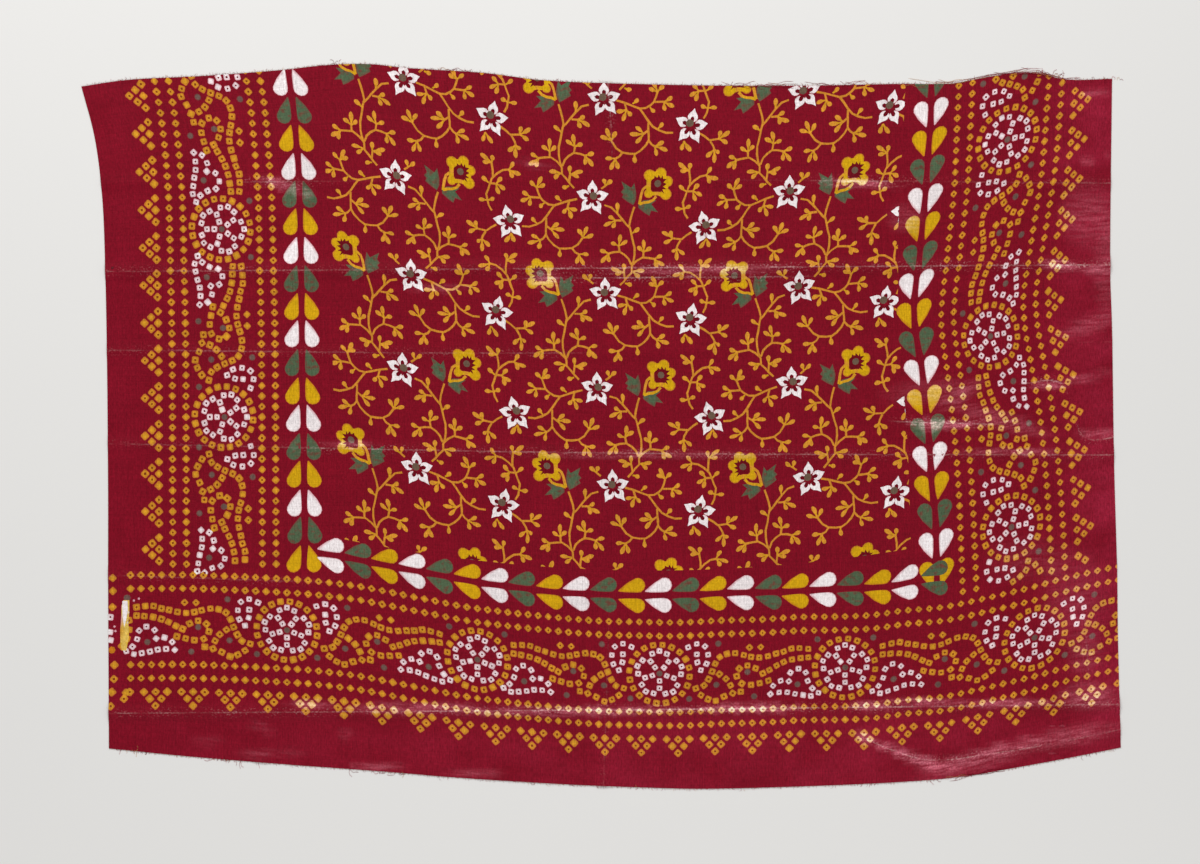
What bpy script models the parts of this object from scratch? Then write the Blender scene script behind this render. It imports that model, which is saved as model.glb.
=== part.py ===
"""A length of glazed printed cotton, cut from the piece and laid out flat.

The cloth was stored folded, so its fold lines still stand up a little from the surface that it
lies on. It is one sheet: two straight sides, and a cut edge at the top and at the bottom.
X runs across the cloth, Y up its length, and Z up from the surface, which is at Z = 0.
"""

import bisect
from collections import namedtuple
from functools import partial

import bmesh
import bpy

MM = 0.001

# The sheet
CLOTH_THICKNESS = 1.0 * MM
LOOM_WIDTH = 742.0 * MM  # side to side at mid height, a narrow loom's cloth

# How closely the sheet is divided
COLUMN_COUNT = 32
ROWS_ACROSS_A_FOLD = (-1.0, -0.5, 0.0, 0.5, 1.0)  # in half widths of the fold

Point = namedtuple("Point", "x_mm y_mm")
Fold = namedtuple(
    "Fold",
    "name left_y_mm middle_y_mm right_y_mm half_width_mm left_rise_mm middle_rise_mm right_rise_mm",
)
Crease = namedtuple("Crease", "name points half_width_mm rise_mm")

# The two cut edges, left to right. The cut wanders, as it was torn and then trimmed by eye.
TOP_EDGE = (
    Point(-381.5, 249.5),
    Point(-348.0, 254.3),
    Point(-291.5, 257.3),
    Point(-236.0, 261.5),
    Point(-199.0, 265.4),
    Point(-169.5, 265.9),
    Point(-143.0, 263.1),
    Point(-86.5, 259.5),
    Point(-45.0, 254.3),
    Point(0.0, 252.1),
    Point(83.5, 250.2),
    Point(153.5, 250.2),
    Point(219.5, 251.4),
    Point(258.5, 251.8),
    Point(288.0, 257.2),
    Point(316.5, 259.5),
    Point(342.0, 254.6),
    Point(375.1, 255.1),
)
BOTTOM_EDGE = (
    Point(-361.3, -236.5),
    Point(-305.0, -242.1),
    Point(-235.0, -247.9),
    Point(-155.0, -253.8),
    Point(-111.5, -257.5),
    Point(-30.0, -262.6),
    Point(36.0, -265.3),
    Point(78.0, -266.1),
    Point(153.5, -264.1),
    Point(219.5, -261.1),
    Point(261.5, -257.5),
    Point(323.0, -247.2),
    Point(381.5, -235.9),
)

# The two sides, bottom to top. The left one is drawn out towards its top corner.
LEFT_SIDE = (
    Point(-361.3, -236.5),
    Point(-361.9, -109.1),
    Point(-361.9, -47.5),
    Point(-362.8, 53.9),
    Point(-364.0, 114.1),
    Point(-366.1, 166.2),
    Point(-371.6, 211.0),
    Point(-381.5, 249.5),
)
RIGHT_SIDE = (
    Point(381.5, -235.9),
    Point(379.4, -153.9),
    Point(378.8, -105.5),
    Point(376.6, -26.9),
    Point(375.1, 71.5),
    Point(373.7, 118.5),
    Point(375.1, 255.1),
)

# The fold lines that run from side to side, bottom to top
FOLDS = (
    Fold("lowest", -210.5, -208.0, -204.0, 9.0, 2.2, 1.8, 2.0),
    Fold("under the field", -109.2, -118.0, -104.0, 9.0, 0.9, 0.3, 0.4),
    Fold("middle", -12.5, -19.5, -21.0, 8.0, 0.9, 1.5, 1.2),
    Fold("upper faint", 56.0, 54.0, 62.0, 8.0, 0.9, 0.5, 0.3),
    Fold("strongest", 113.5, 116.0, 118.5, 9.0, 1.6, 2.6, 2.2),
    Fold("highest", 178.5, 181.0, 178.5, 8.0, 0.8, 0.4, 0.9),
)

# The shorter creases, each on its own line over the sheet
CREASES = (
    Crease("middle line, top", (Point(4.0, 262.0), Point(6.5, 200.0)), 9.0, 0.9),
    Crease("middle line, bottom", (Point(6.0, -140.0), Point(2.0, -266.0)), 9.0, 0.9),
    Crease("left foot", (Point(-246.0, -196.0), Point(-250.0, -250.0)), 9.0, 0.7),
    Crease(
        "lower right sweep",
        (Point(196.0, -228.0), Point(236.0, -240.0), Point(300.0, -236.0), Point(378.0, -222.0)),
        11.0,
        1.8,
    ),
)

CLOTH_RED = (0.205, 0.012, 0.020, 1.0)


def clear_scene():
    for thing in list(bpy.data.objects):
        bpy.data.objects.remove(thing, do_unlink=True)


def along(stations, values, place):
    """The value at a place, on a smooth curve through the values at the stations."""
    place = min(max(place, stations[0]), stations[-1])
    i = min(bisect.bisect_right(stations, place), len(stations) - 1)
    low, high = max(i - 2, 0), min(i + 1, len(stations) - 1)
    start, end = stations[i - 1], stations[i]
    slope_in = (values[i] - values[low]) / (stations[i] - stations[low])
    slope_out = (values[high] - values[i - 1]) / (stations[high] - stations[i - 1])
    span = end - start
    t = (place - start) / span
    return (
        values[i - 1] * (1 + 2 * t) * (1 - t) ** 2
        + values[i] * t * t * (3 - 2 * t)
        + slope_in * span * t * (1 - t) ** 2
        + slope_out * span * t * t * (t - 1)
    )


def edge_height(edge, x_mm):
    return along([p.x_mm for p in edge], [p.y_mm for p in edge], x_mm)


def side_place(side, y_mm):
    return along([p.y_mm for p in side], [p.x_mm for p in side], y_mm)


def left_middle_right(left, middle, right, x_mm):
    half = LOOM_WIDTH / MM / 2
    return along((-half, 0.0, half), (left, middle, right), x_mm)


def fold_height(fold, x_mm):
    """Where a fold line runs at a place across the cloth."""
    return left_middle_right(fold.left_y_mm, fold.middle_y_mm, fold.right_y_mm, x_mm)


def fold_rise(fold, x_mm):
    """How far a fold stands up at a place across the cloth."""
    return left_middle_right(fold.left_rise_mm, fold.middle_rise_mm, fold.right_rise_mm, x_mm)


def row_lines():
    """Each row of the sheet as a function of x, from the bottom edge to the top edge.

    A fold gets rows along itself, so that its ridge is crisp, and one more lies between folds.
    """
    lines = [partial(edge_height, BOTTOM_EDGE)]
    for fold in FOLDS:
        along_fold = [partial(line_beside_fold, fold, share) for share in ROWS_ACROSS_A_FOLD]
        lines += [partial(line_between, lines[-1], along_fold[0])] + along_fold
    top = partial(edge_height, TOP_EDGE)
    return lines + [partial(line_between, lines[-1], top), top]


def line_beside_fold(fold, share, x_mm):
    return fold_height(fold, x_mm) + share * fold.half_width_mm


def line_between(below, above, x_mm):
    return (below(x_mm) + above(x_mm)) / 2


def place_on_row(line, share_across):
    """The point of a row at a share of the way from the left side to the right side."""
    x_mm = (share_across - 0.5) * LOOM_WIDTH / MM
    for _ in range(4):
        y_mm = line(x_mm)
        left, right = side_place(LEFT_SIDE, y_mm), side_place(RIGHT_SIDE, y_mm)
        x_mm = left + share_across * (right - left)
    return x_mm, line(x_mm)


def ridge(distance_mm, half_width_mm):
    share = min(abs(distance_mm) / half_width_mm, 1.0)
    return (1.0 - share * share) ** 2


def crease_distance(crease, x_mm, y_mm):
    """The distance from a point to a crease's line."""
    nearest = float("inf")
    for a, b in zip(crease.points, crease.points[1:]):
        run_x, run_y = b.x_mm - a.x_mm, b.y_mm - a.y_mm
        share = ((x_mm - a.x_mm) * run_x + (y_mm - a.y_mm) * run_y) / (run_x**2 + run_y**2)
        share = min(max(share, 0.0), 1.0)
        gap_x, gap_y = x_mm - a.x_mm - share * run_x, y_mm - a.y_mm - share * run_y
        nearest = min(nearest, (gap_x**2 + gap_y**2) ** 0.5)
    return nearest


def rise_at(x_mm, y_mm):
    """How far the cloth stands off the surface: 0 between its folds."""
    rise = 0.0
    for fold in FOLDS:
        rise += fold_rise(fold, x_mm) * ridge(y_mm - fold_height(fold, x_mm), fold.half_width_mm)
    for crease in CREASES:
        rise += crease.rise_mm * ridge(crease_distance(crease, x_mm, y_mm), crease.half_width_mm)
    return rise


def cloth_sheet():
    """The underside of the cloth as one grid, thickened upwards."""
    rows = row_lines()
    bm = bmesh.new()
    bmesh.ops.create_grid(bm, x_segments=COLUMN_COUNT, y_segments=len(rows) - 1, size=0.5)
    for v in bm.verts:
        share_across = v.co.x + 0.5
        row = rows[round((v.co.y + 0.5) * (len(rows) - 1))]
        x_mm, y_mm = place_on_row(row, share_across)
        v.co = (x_mm * MM, y_mm * MM, rise_at(x_mm, y_mm) * MM)
    mesh = bpy.data.meshes.new("cloth")
    bm.to_mesh(mesh)
    bm.free()
    mesh.shade_smooth()
    sheet = bpy.data.objects.new("cloth", mesh)
    bpy.context.scene.collection.objects.link(sheet)
    thickness = sheet.modifiers.new("thickness", "SOLIDIFY")
    thickness.thickness = CLOTH_THICKNESS
    thickness.offset = 1.0
    return sheet


def printed_cotton():
    material = bpy.data.materials.new("printed_cotton")
    material.use_nodes = True
    surface = material.node_tree.nodes["Principled BSDF"]
    surface.inputs["Base Color"].default_value = CLOTH_RED
    surface.inputs["Roughness"].default_value = 0.55
    surface.inputs["Metallic"].default_value = 0.0
    return material


clear_scene()
cloth = cloth_sheet()
cloth.data.materials.append(printed_cotton())
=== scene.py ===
import bisect
import math
import random
from collections import namedtuple

import bpy
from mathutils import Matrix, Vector, noise
from mathutils.geometry import delaunay_2d_cdt


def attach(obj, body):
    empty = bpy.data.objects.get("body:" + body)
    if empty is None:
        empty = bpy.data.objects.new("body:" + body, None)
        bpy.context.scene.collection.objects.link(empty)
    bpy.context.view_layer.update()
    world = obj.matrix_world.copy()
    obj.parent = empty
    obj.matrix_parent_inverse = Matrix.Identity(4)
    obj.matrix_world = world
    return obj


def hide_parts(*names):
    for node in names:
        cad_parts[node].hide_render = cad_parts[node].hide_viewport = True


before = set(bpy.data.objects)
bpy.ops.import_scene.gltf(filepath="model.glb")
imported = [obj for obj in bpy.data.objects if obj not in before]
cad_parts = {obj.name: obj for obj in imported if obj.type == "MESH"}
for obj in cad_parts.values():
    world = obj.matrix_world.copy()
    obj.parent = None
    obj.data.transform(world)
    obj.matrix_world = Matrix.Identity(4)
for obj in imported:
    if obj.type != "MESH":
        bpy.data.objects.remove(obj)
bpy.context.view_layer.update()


# Objects and materials
# Each piece below is one mesh with one material. The materials are put together from nodes alone,
# by the few calls of Surface, and take the cloth's own attributes and pages as their pattern.

def add_object(name, data):
    thing = bpy.data.objects.new(name, data)
    bpy.context.scene.collection.objects.link(thing)
    return thing


class Surface:
    """A material being put together. Each call adds one node and gives what comes out of it."""

    def __init__(self, name, settings):
        self.material = bpy.data.materials.new(name)
        self.material.use_nodes = True
        self.tree = self.material.node_tree
        self.shader = self.tree.nodes["Principled BSDF"]
        for socket, value in settings.items():
            self.feed(self.shader.inputs[socket], value)

    def feed(self, socket, value):
        """Give a socket a number, a colour or vector, or what comes out of another node."""
        if isinstance(value, tuple):
            socket.default_value = (*value, 1.0)[:len(socket.default_value)]
        elif isinstance(value, (int, float)):
            socket.default_value = value
        else:
            self.tree.links.new(value, socket)

    def add(self, kind, inputs, output, **settings):
        """A node by its kind, what goes into its sockets, and the name of what comes out of it."""
        node = self.tree.nodes.new(kind)
        for name, value in settings.items():
            setattr(node, name, value)
        for socket, value in inputs.items():
            self.feed(node.inputs[socket], value)
        return node.outputs[output]

    def attribute(self, name, output):
        return self.add("ShaderNodeAttribute", {}, output, attribute_name=name)

    def reckon(self, operation, a, b, clamp=False):
        settings = {"operation": operation, "use_clamp": clamp}
        return self.add("ShaderNodeMath", {0: a, 1: b}, 0, **settings)

    def times(self, a, b, clamp=False):
        return self.reckon("MULTIPLY", a, b, clamp)

    def vectors(self, operation, *parts):
        """A step of reckoning with vectors. One number stands for a vector with three of it."""
        inputs = {i: (p, p, p) if isinstance(p, float) else p for i, p in enumerate(parts)}
        output = "Value" if operation == "DOT_PRODUCT" else "Vector"
        return self.add("ShaderNodeVectorMath", inputs, output, operation=operation)

    def ranged(self, value, low, high, to_low, to_high):
        limits = {"From Min": low, "From Max": high, "To Min": to_low, "To Max": to_high}
        return self.add("ShaderNodeMapRange", {"Value": value, **limits}, "Result")

    def mixed(self, share, a, b, blend="MIX"):
        settings = {"data_type": "RGBA", "blend_type": blend, "clamp_result": True}
        return self.add("ShaderNodeMix", {"Factor": share, 6: a, 7: b}, 2, **settings)


# The cloth's shape
# A length of fine plain-weave cotton with two straight sides, cut across at the top and bottom.
# It was kept folded, so it lies flat with its fold lines still standing up a little.

# Lengths on the cloth are in millimetres, right and up from its middle.
MM = 0.001
LOOM_WIDTH = 742.0
CUT_LENGTH = 516.0
COTTON_THICKNESS = 0.45
LIFT_OFF_TABLE = 0.04
FOLD_REACH = 30.0  # no fold wanders further than this from its middle height
SLACK, SLACK_SWING = 0.10, 0.16  # how far the cloth stands up between its folds, and how unevenly
SLACK_ACROSS, SLACK_UP = 85.0, 60.0
OUTLINE_STEP = 4.0

Fold = namedtuple("Fold", "middle_y height rise half_width")
Crease = namedtuple("Crease", "points half_width rise low high")


def smooth(table):
    """A smooth curve through a table's rows, which hold a place and the value there."""
    stations, values = zip(*table)
    last = len(stations) - 1
    slopes = []
    for i in range(last + 1):
        low, high = max(i - 1, 0), min(i + 1, last)
        slopes.append((values[high] - values[low]) / (stations[high] - stations[low]))

    def value_at(place):
        place = min(max(place, stations[0]), stations[-1])
        i = min(bisect.bisect_right(stations, place), last)
        span = stations[i] - stations[i - 1]
        t = (place - stations[i - 1]) / span
        return (
            values[i - 1] * (1 + 2 * t) * (1 - t) ** 2
            + values[i] * t * t * (3 - 2 * t)
            + slopes[i - 1] * span * t * (1 - t) ** 2
            + slopes[i] * span * t * t * (t - 1)
        )

    return value_at


def across_the_loom(left, middle, right):
    return smooth(((-LOOM_WIDTH / 2, left), (0.0, middle), (LOOM_WIDTH / 2, right)))


def fold_line(heights, rises, half_width):
    """A fold from side to side, by its heights and rises at the left, the middle and the right."""
    return Fold(heights[1], across_the_loom(*heights), across_the_loom(*rises), half_width)


# The cut edges, as (x, y), and the sides, as (y, x), all in millimetres from the middle.
top_edge = smooth((
    (-381.5, 249.5), (-348.0, 254.3), (-291.5, 257.3), (-236.0, 261.5), (-199.0, 265.4),
    (-169.5, 265.9), (-143.0, 263.1), (-86.5, 259.5), (-45.0, 254.3), (0.0, 252.1), (83.5, 250.2),
    (153.5, 250.2), (219.5, 251.4), (258.5, 251.8), (288.0, 257.2), (316.5, 259.5), (342.0, 254.6),
    (375.1, 255.1),
))
bottom_edge = smooth((
    (-361.3, -236.5), (-305.0, -242.1), (-235.0, -247.9), (-155.0, -253.8), (-111.5, -257.5),
    (-30.0, -262.6), (36.0, -265.3), (78.0, -266.1), (153.5, -264.1), (219.5, -261.1),
    (261.5, -257.5), (323.0, -247.2), (381.5, -235.9),
))
left_side = smooth((
    (-236.5, -361.3), (-109.1, -361.9), (-47.5, -361.9), (53.9, -362.8), (114.1, -364.0),
    (166.2, -366.1), (211.0, -371.6), (249.5, -381.5),
))
right_side = smooth((
    (-235.9, 381.5), (-153.9, 379.4), (-105.5, 378.8), (-26.9, 376.6), (71.5, 375.1),
    (118.5, 373.7), (255.1, 375.1),
))
LOWER_LEFT, LOWER_RIGHT = (-361.3, -236.5), (381.5, -235.9)
UPPER_LEFT, UPPER_RIGHT = (-381.5, 249.5), (375.1, 255.1)

# The fold lines, from the foot up.
FOLDS = (
    fold_line((-210.5, -208.0, -204.0), (2.2, 1.8, 2.0), 9.0),
    fold_line((-109.2, -118.0, -104.0), (0.9, 0.3, 0.4), 9.0),
    fold_line((-12.5, -19.5, -21.0), (0.9, 1.5, 1.2), 8.0),
    fold_line((56.0, 54.0, 62.0), (0.9, 0.5, 0.3), 8.0),
    fold_line((113.5, 116.0, 118.5), (1.6, 2.6, 2.2), 9.0),
    fold_line((178.5, 181.0, 178.5), (0.8, 0.4, 0.9), 8.0),
)
LOWEST_FOLD, UNDER_FIELD_FOLD, MIDDLE_FOLD, FAINT_FOLD, STRONGEST_FOLD, HIGHEST_FOLD = FOLDS


def short_crease(points, half_width, rise):
    """A short crease, with the corners of the box that it reaches."""
    xs, ys = zip(*points)
    low = (min(xs) - half_width, min(ys) - half_width)
    high = (max(xs) + half_width, max(ys) + half_width)
    return Crease(points, half_width, rise, low, high)


CREASES = (
    short_crease(((4.0, 262.0), (6.5, 200.0)), 9.0, 0.9),
    short_crease(((6.0, -140.0), (2.0, -266.0)), 9.0, 0.9),
    short_crease(((-246.0, -196.0), (-250.0, -250.0)), 9.0, 0.7),
    short_crease(((196.0, -228.0), (236.0, -240.0), (300.0, -236.0), (378.0, -222.0)), 11.0, 1.8),
)


def ridge(distance, half_width):
    """A soft ridge, a little sharper at its crest than a hill."""
    share = min(abs(distance) / half_width, 1.0)
    return 0.8 * (1.0 - share * share) ** 2 + 0.2 * (1.0 - share) ** 4


def crease_distance(crease, x, y):
    nearest = float("inf")
    for (start_x, start_y), (end_x, end_y) in zip(crease.points, crease.points[1:]):
        run_x, run_y = end_x - start_x, end_y - start_y
        share = ((x - start_x) * run_x + (y - start_y) * run_y) / (run_x**2 + run_y**2)
        share = min(max(share, 0.0), 1.0)
        nearest = min(nearest, math.hypot(x - start_x - share * run_x, y - start_y - share * run_y))
    return nearest


def rise_at(x, y):
    """How far the underside stands off the table."""
    slack = SLACK + SLACK_SWING * noise.noise(Vector((x / SLACK_ACROSS, y / SLACK_UP, 0.0)))
    rise = LIFT_OFF_TABLE + max(slack, 0.0)
    for fold in FOLDS:
        if abs(y - fold.middle_y) < FOLD_REACH:
            rise += fold.rise(x) * ridge(y - fold.height(x), fold.half_width)
    for crease in CREASES:
        if crease.low[0] < x < crease.high[0] and crease.low[1] < y < crease.high[1]:
            rise += crease.rise * ridge(crease_distance(crease, x, y), crease.half_width)
    return rise


def outline_points():
    """The cloth's outline, anticlockwise from its lower left corner."""

    def steps(start, end):
        count = round(abs(end - start) / OUTLINE_STEP)
        return [start + (end - start) * i / count for i in range(count)]

    points = [(x, bottom_edge(x)) for x in steps(LOWER_LEFT[0], LOWER_RIGHT[0])]
    points += [(right_side(y), y) for y in steps(LOWER_RIGHT[1], UPPER_RIGHT[1])]
    points += [(x, top_edge(x)) for x in steps(UPPER_RIGHT[0], UPPER_LEFT[0])]
    points += [(left_side(y), y) for y in steps(UPPER_LEFT[1], LOWER_LEFT[1])]
    return points


def within(x, y, margin):
    """Whether a place lies on the cloth, at least this far inside its edges."""
    return (
        bottom_edge(x) + margin < y < top_edge(x) - margin
        and left_side(y) + margin < x < right_side(y) - margin
    )


# The print's inks and marks
# The red ground is dyed, and the pattern is discharged and printed from wooden blocks by hand:
# white, yellow, and a grey green. Each mark bleeds a little into the red at its edge.

# The pattern is charted on a page of small squares, counted right and down from its corner.
SQUARE = 0.7343
MIDDLE_RIGHT = 601.1
MIDDLE_DOWN = 426.35
WOBBLE, HOLE_WOBBLE = 0.14, 0.04  # how far the corners of marks and of holes stray, in squares
OFF_THE_CLOTH = -6.0  # a mark further out than this can't reach the cloth, in millimetres
SMALLEST_MARK = 0.25  # square millimetres

# An ink's colour at the edge of a mark, or at each corner of it, and inside the edge.
Ink = namedtuple("Ink", "edge core")
Mark = namedtuple("Mark", "layer edge core points")

hand = random.Random(41)  # the small unevenness of a hand at the blocks
marks = []


def dye(red, green, blue):
    """A colour by its 0 to 255 screen values, as Blender's linear values."""
    def linear(value):
        share = value / 255.0
        return share / 12.92 if share <= 0.04045 else ((share + 0.055) / 1.055) ** 2.4
    return linear(red), linear(green), linear(blue)


MADDER_RED = dye(126, 12, 32)
DEEP_RED = dye(108, 8, 24)
WHITE_INK = Ink(dye(214, 160, 168), dye(240, 230, 230))
YELLOW_INK = Ink(dye(196, 118, 24), dye(208, 160, 16))
DOT_INK = Ink(dye(188, 106, 38), dye(212, 152, 38))
GREEN_INK = Ink(dye(108, 74, 60), dye(80, 98, 72))
GREY_INK = Ink(dye(118, 48, 50), dye(108, 84, 76))
HOLE_IN_YELLOW = dye(136, 60, 22)
HOLE_IN_WHITE = dye(118, 16, 38)
LEAF_YELLOW = dye(211, 143, 46)


def flat(colour):
    return Ink(colour, colour)


def paler_tip(base, tip):
    """The ink of a leaf or a petal of eleven corners: the first and last two are at its base."""
    return Ink([base] * 2 + [tip] * 7 + [base] * 2, tip)


def darker(ink, share):
    return Ink(*(tuple(part * share for part in colour) for colour in ink))


def climb(value, start, end):
    """How far a value has come from the start to the end, from 0 to 1."""
    return min(max((value - start) / (end - start), 0.0), 1.0)


def on_cloth(right, down):
    return (right - MIDDLE_RIGHT) * SQUARE, (MIDDLE_DOWN - down) * SQUARE


def on_page(x, y):
    return x / SQUARE + MIDDLE_RIGHT, MIDDLE_DOWN - y / SQUARE


def signed_area(points):
    return sum(a[0] * b[1] - b[0] * a[1] for a, b in zip(points, points[1:] + points[:1])) / 2


def printed(layer, ink, outline, place, wobble=WOBBLE):
    """One shape of ink, charted as its outline and set on the cloth by a function."""
    points = []
    for right, down in outline:
        right += hand.uniform(-wobble, wobble)
        down += hand.uniform(-wobble, wobble)
        points.append(place(right, down))
    if not any(within(x, y, OFF_THE_CLOTH) for x, y in (points[0], points[len(points) // 2])):
        return
    area = signed_area(points)
    if abs(area) < SMALLEST_MARK:
        return
    edges = list(ink.edge) if isinstance(ink.edge, list) else [ink.edge] * len(points)
    if area < 0:
        points.reverse()
        edges.reverse()
    marks.append(Mark(layer, edges, ink.core, points))


def ring_of_points(right, down, radius, count):
    turns = [2 * math.pi * i / count for i in range(count)]
    return [(right + radius * math.cos(t), down + radius * math.sin(t)) for t in turns]


def both_sides(half, end, place):
    """An outline up one side of a shape to its end and back down the other."""
    outline = [place(along, aside) for along, aside in half] + [place(end, 0.0)]
    return outline + [place(along, -aside) for along, aside in reversed(half)]


# The dotted borders
# Squares of dots imitate tied and dyed cloth: rosettes of white dots in a yellow ring, with white
# paisleys and yellow vines between them, four rows of single dots, and points of six dots outside.

ARM = 181.5  # squares from a rosette with paisleys to the next one
DOTS_TO_AN_ARM = 18
POINTS_TO_AN_ARM = 5
ROW_PLACES = (-51.6, -38.0, 38.0, 51.6)
SIX_DOTS = ((-11.3, 65.3), (0.0, 65.3), (11.3, 65.3), (-5.65, 72.1), (5.65, 72.1), (0.0, 79.0))
ROW_DOT_SIZE = 3.0
POINT_DOT_SIZE = 3.35
SQUARE_DOT_SIZE = 3.25
WHITE_DOT_SIZE = 2.85
DOT_LAYER = 20
HOLE_LAYER = 40
GREY_SPOT_SIZE = 3.4
GREY_CORE_SIZE = 2.2

# A dot of size 1, and the hole in it before it is drawn in.
DOT_CORNERS = (
    (1, 0.7), (0.7, 1), (-0.7, 1), (-1, 0.7), (-1, -0.7), (-0.7, -1), (0.7, -1), (1, -0.7),
)
HOLE_CORNERS = ((1, 0), (0, 1), (-1, 0), (0, -1))

# The blocks held more ink towards the left, so that more holes closed there. Where they held the
# least and the most, in squares right of the cloth's middle.
DRIEST, FULLEST = 330.0, -270.0

RING_RADIUS = 29.3
RING_DOTS = 20
RING_TURN = 0.1
PETAL_COUNT = 5
# The dots of one petal, as how far out they are and how many degrees aside.
PETAL_DOTS = ((20.8, -20.0), (22.5, 0.0), (20.8, 20.0), (7.4, 36.0), (14.7, 36.0))

# Places on an arm are charted as squares along it and squares out from its middle line.
UPPER_VINE = (
    (36, -19.5), (44.5, -20.5), (52.5, -20.5), (60, -18), (67.5, -16.5), (75.5, -14.5),
    (84, -13.5), (92, -14.5), (99, -16.5), (107.5, -18.5), (115.5, -18), (122.5, -15),
    (127, -8.5), (130, -1), (133.5, 6.5), (138, 12.5), (146, 15),
)
LOWER_VINE = (
    (36, -11), (43.5, -10.5), (52, -9.5), (60, -7.5), (67, -4.5), (74, -0.5), (80.5, 2.5),
)
CURLED_TIP = (
    (87.5, -3), (95.5, -6), (103.5, -3), (106, 4.5), (101, 12), (92, 13.5), (83.5, 12), (75, 10),
)
BUD = (
    (123, 2), (116.5, 7), (112, 13.5), (110, 21.5), (118.5, 24.5), (126.5, 28.5), (134, 26.5),
    (141, 22),
)
SPARE_SQUARE = ((102, 20),)
SPARE_DIAMONDS = ((82.5, -24), (93.5, -24))
PAISLEY = (
    (45.5, 2.5), (53.5, 6), (55, 14.5), (63, 13.5), (70.5, 18), (73, 26), (64.5, 25), (56.5, 25.5),
    (49, 27.5), (41, 29), (33.5, 30), (26, 27), (32, 22.5), (36.5, 15), (38.5, 6.5),
)
COMMA = (
    (153.5, -24), (145, -27), (137, -24), (134, -15.5), (135.5, -6.5), (141, -0.5), (144.5, -8.5),
    (145, -16.5),
)
GREY_SPOTS = ((27, -28), (46.5, 16.5), (95.5, 1.5), (89, 26), (124, -27.5), (126, 13.5), (152.5, 26))

# The left border's middle line, as (down, right), and its rosettes' places down it.
left_line = smooth((
    (60, 203.5), (82, 207.7), (102, 211.3), (118, 213.5), (140, 215.8), (155, 217.2), (192, 220),
    (228, 221.2), (285, 222.5), (340, 223.6), (400, 224), (490, 224.3), (600, 224.8),
))
left_spread = smooth(((60, 1.035), (102, 1.02), (150, 1.0), (600, 1.0)))
LEFT_ROSETTES = (39.0, 229.2, 417.0, 606.0)
LEFT_YELLOW_END = 568.0
LEFT_WHITE_END = 577.0

# The right border is pulled in at its middle, and its rows of dots climb to the right.
right_line = smooth((
    (40, 1014), (100, 1012), (160, 1008.5), (220, 1004.5), (280, 996.5), (340, 988.5), (370, 990),
    (400, 994.5), (460, 1003), (520, 1008.5), (580, 1012), (640, 1014.5),
))
right_spread = smooth((
    (40, 1.02), (100, 1.02), (220, 0.98), (370, 0.91), (460, 0.95), (580, 0.985), (640, 0.99),
))
RIGHT_ROSETTES = (-13.0, 180.2, 373.0, 568.6, 762.0)
RIGHT_END = 625.0

# The bottom border's middle line, as (right, down): it sags to the middle and climbs at the right.
bottom_line = smooth((
    (90, 627), (151, 626.5), (193, 626.5), (246, 628.5), (276, 630), (309, 632), (341, 635.5),
    (363, 638.5), (384, 642.5), (404, 646.5), (435, 652.5), (466, 658.5), (497, 662.5), (527, 666),
    (567, 670), (600, 672.5), (640, 673.5), (681, 674), (720, 672), (760, 671), (801, 668.5),
    (843, 668), (873, 666.5), (905, 662), (937, 659.5), (958, 656), (978, 651.5), (1000, 646.5),
    (1031, 639), (1064, 630), (1085, 625), (1130, 615),
))
BOTTOM_ROSETTES = (99.5, 287.0, 477.5, 659.5, 845.0, 1034.5, 1223.0)
BOTTOM_START = 122.0

# The white paisleys were set a little off their place, in squares outwards.
LEFT_WHITE_SLIP, BOTTOM_WHITE_SLIP = -2.8, -2.5
GREY_SLIP_SHARE, ROSETTE_SLIP_SHARE = 0.4, 0.2
FAR_BACK, FAR_ON = -1000.0, 3000.0  # past either end of every border

# A border: how it lies, its rosettes, how far its white marks slipped, and where each ink stops.
Band = namedtuple("Band", "border rosettes paisleys_first white_slip yellow_run white_run")

# One ink's marks, counted from a rosette or along an arm, and where that ink starts and stops.
Block = namedtuple("Block", "border run_limits start scale slip")

# A row of the weft is bowed: it lies lowest just right of the cloth's middle.
WEFT_START, WEFT_SPAN = 403.0, 197.0
WEFT_DROP, WEFT_BEND = 32.25, 12.75


def weft_line(right):
    """How far down a row of the weft lies, in squares, from where it crosses the cloth's middle."""
    share = (right - WEFT_START) / WEFT_SPAN
    return WEFT_DROP * share - WEFT_BEND * share * share - (WEFT_DROP - WEFT_BEND)


def left_border(run, out):
    return on_cloth(left_line(run) - out * left_spread(run), run)


def right_border(run, out):
    right = right_line(run) + out * right_spread(run)
    return on_cloth(right, run + weft_line(right))


def bottom_border(run, out):
    return on_cloth(run, bottom_line(run) + out)


def place_by(block):
    return lambda run, out: block.border(block.start + block.scale * run, out + block.slip)


def holds(block, run):
    low, high = block.run_limits
    return low < block.start + block.scale * run < high


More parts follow.
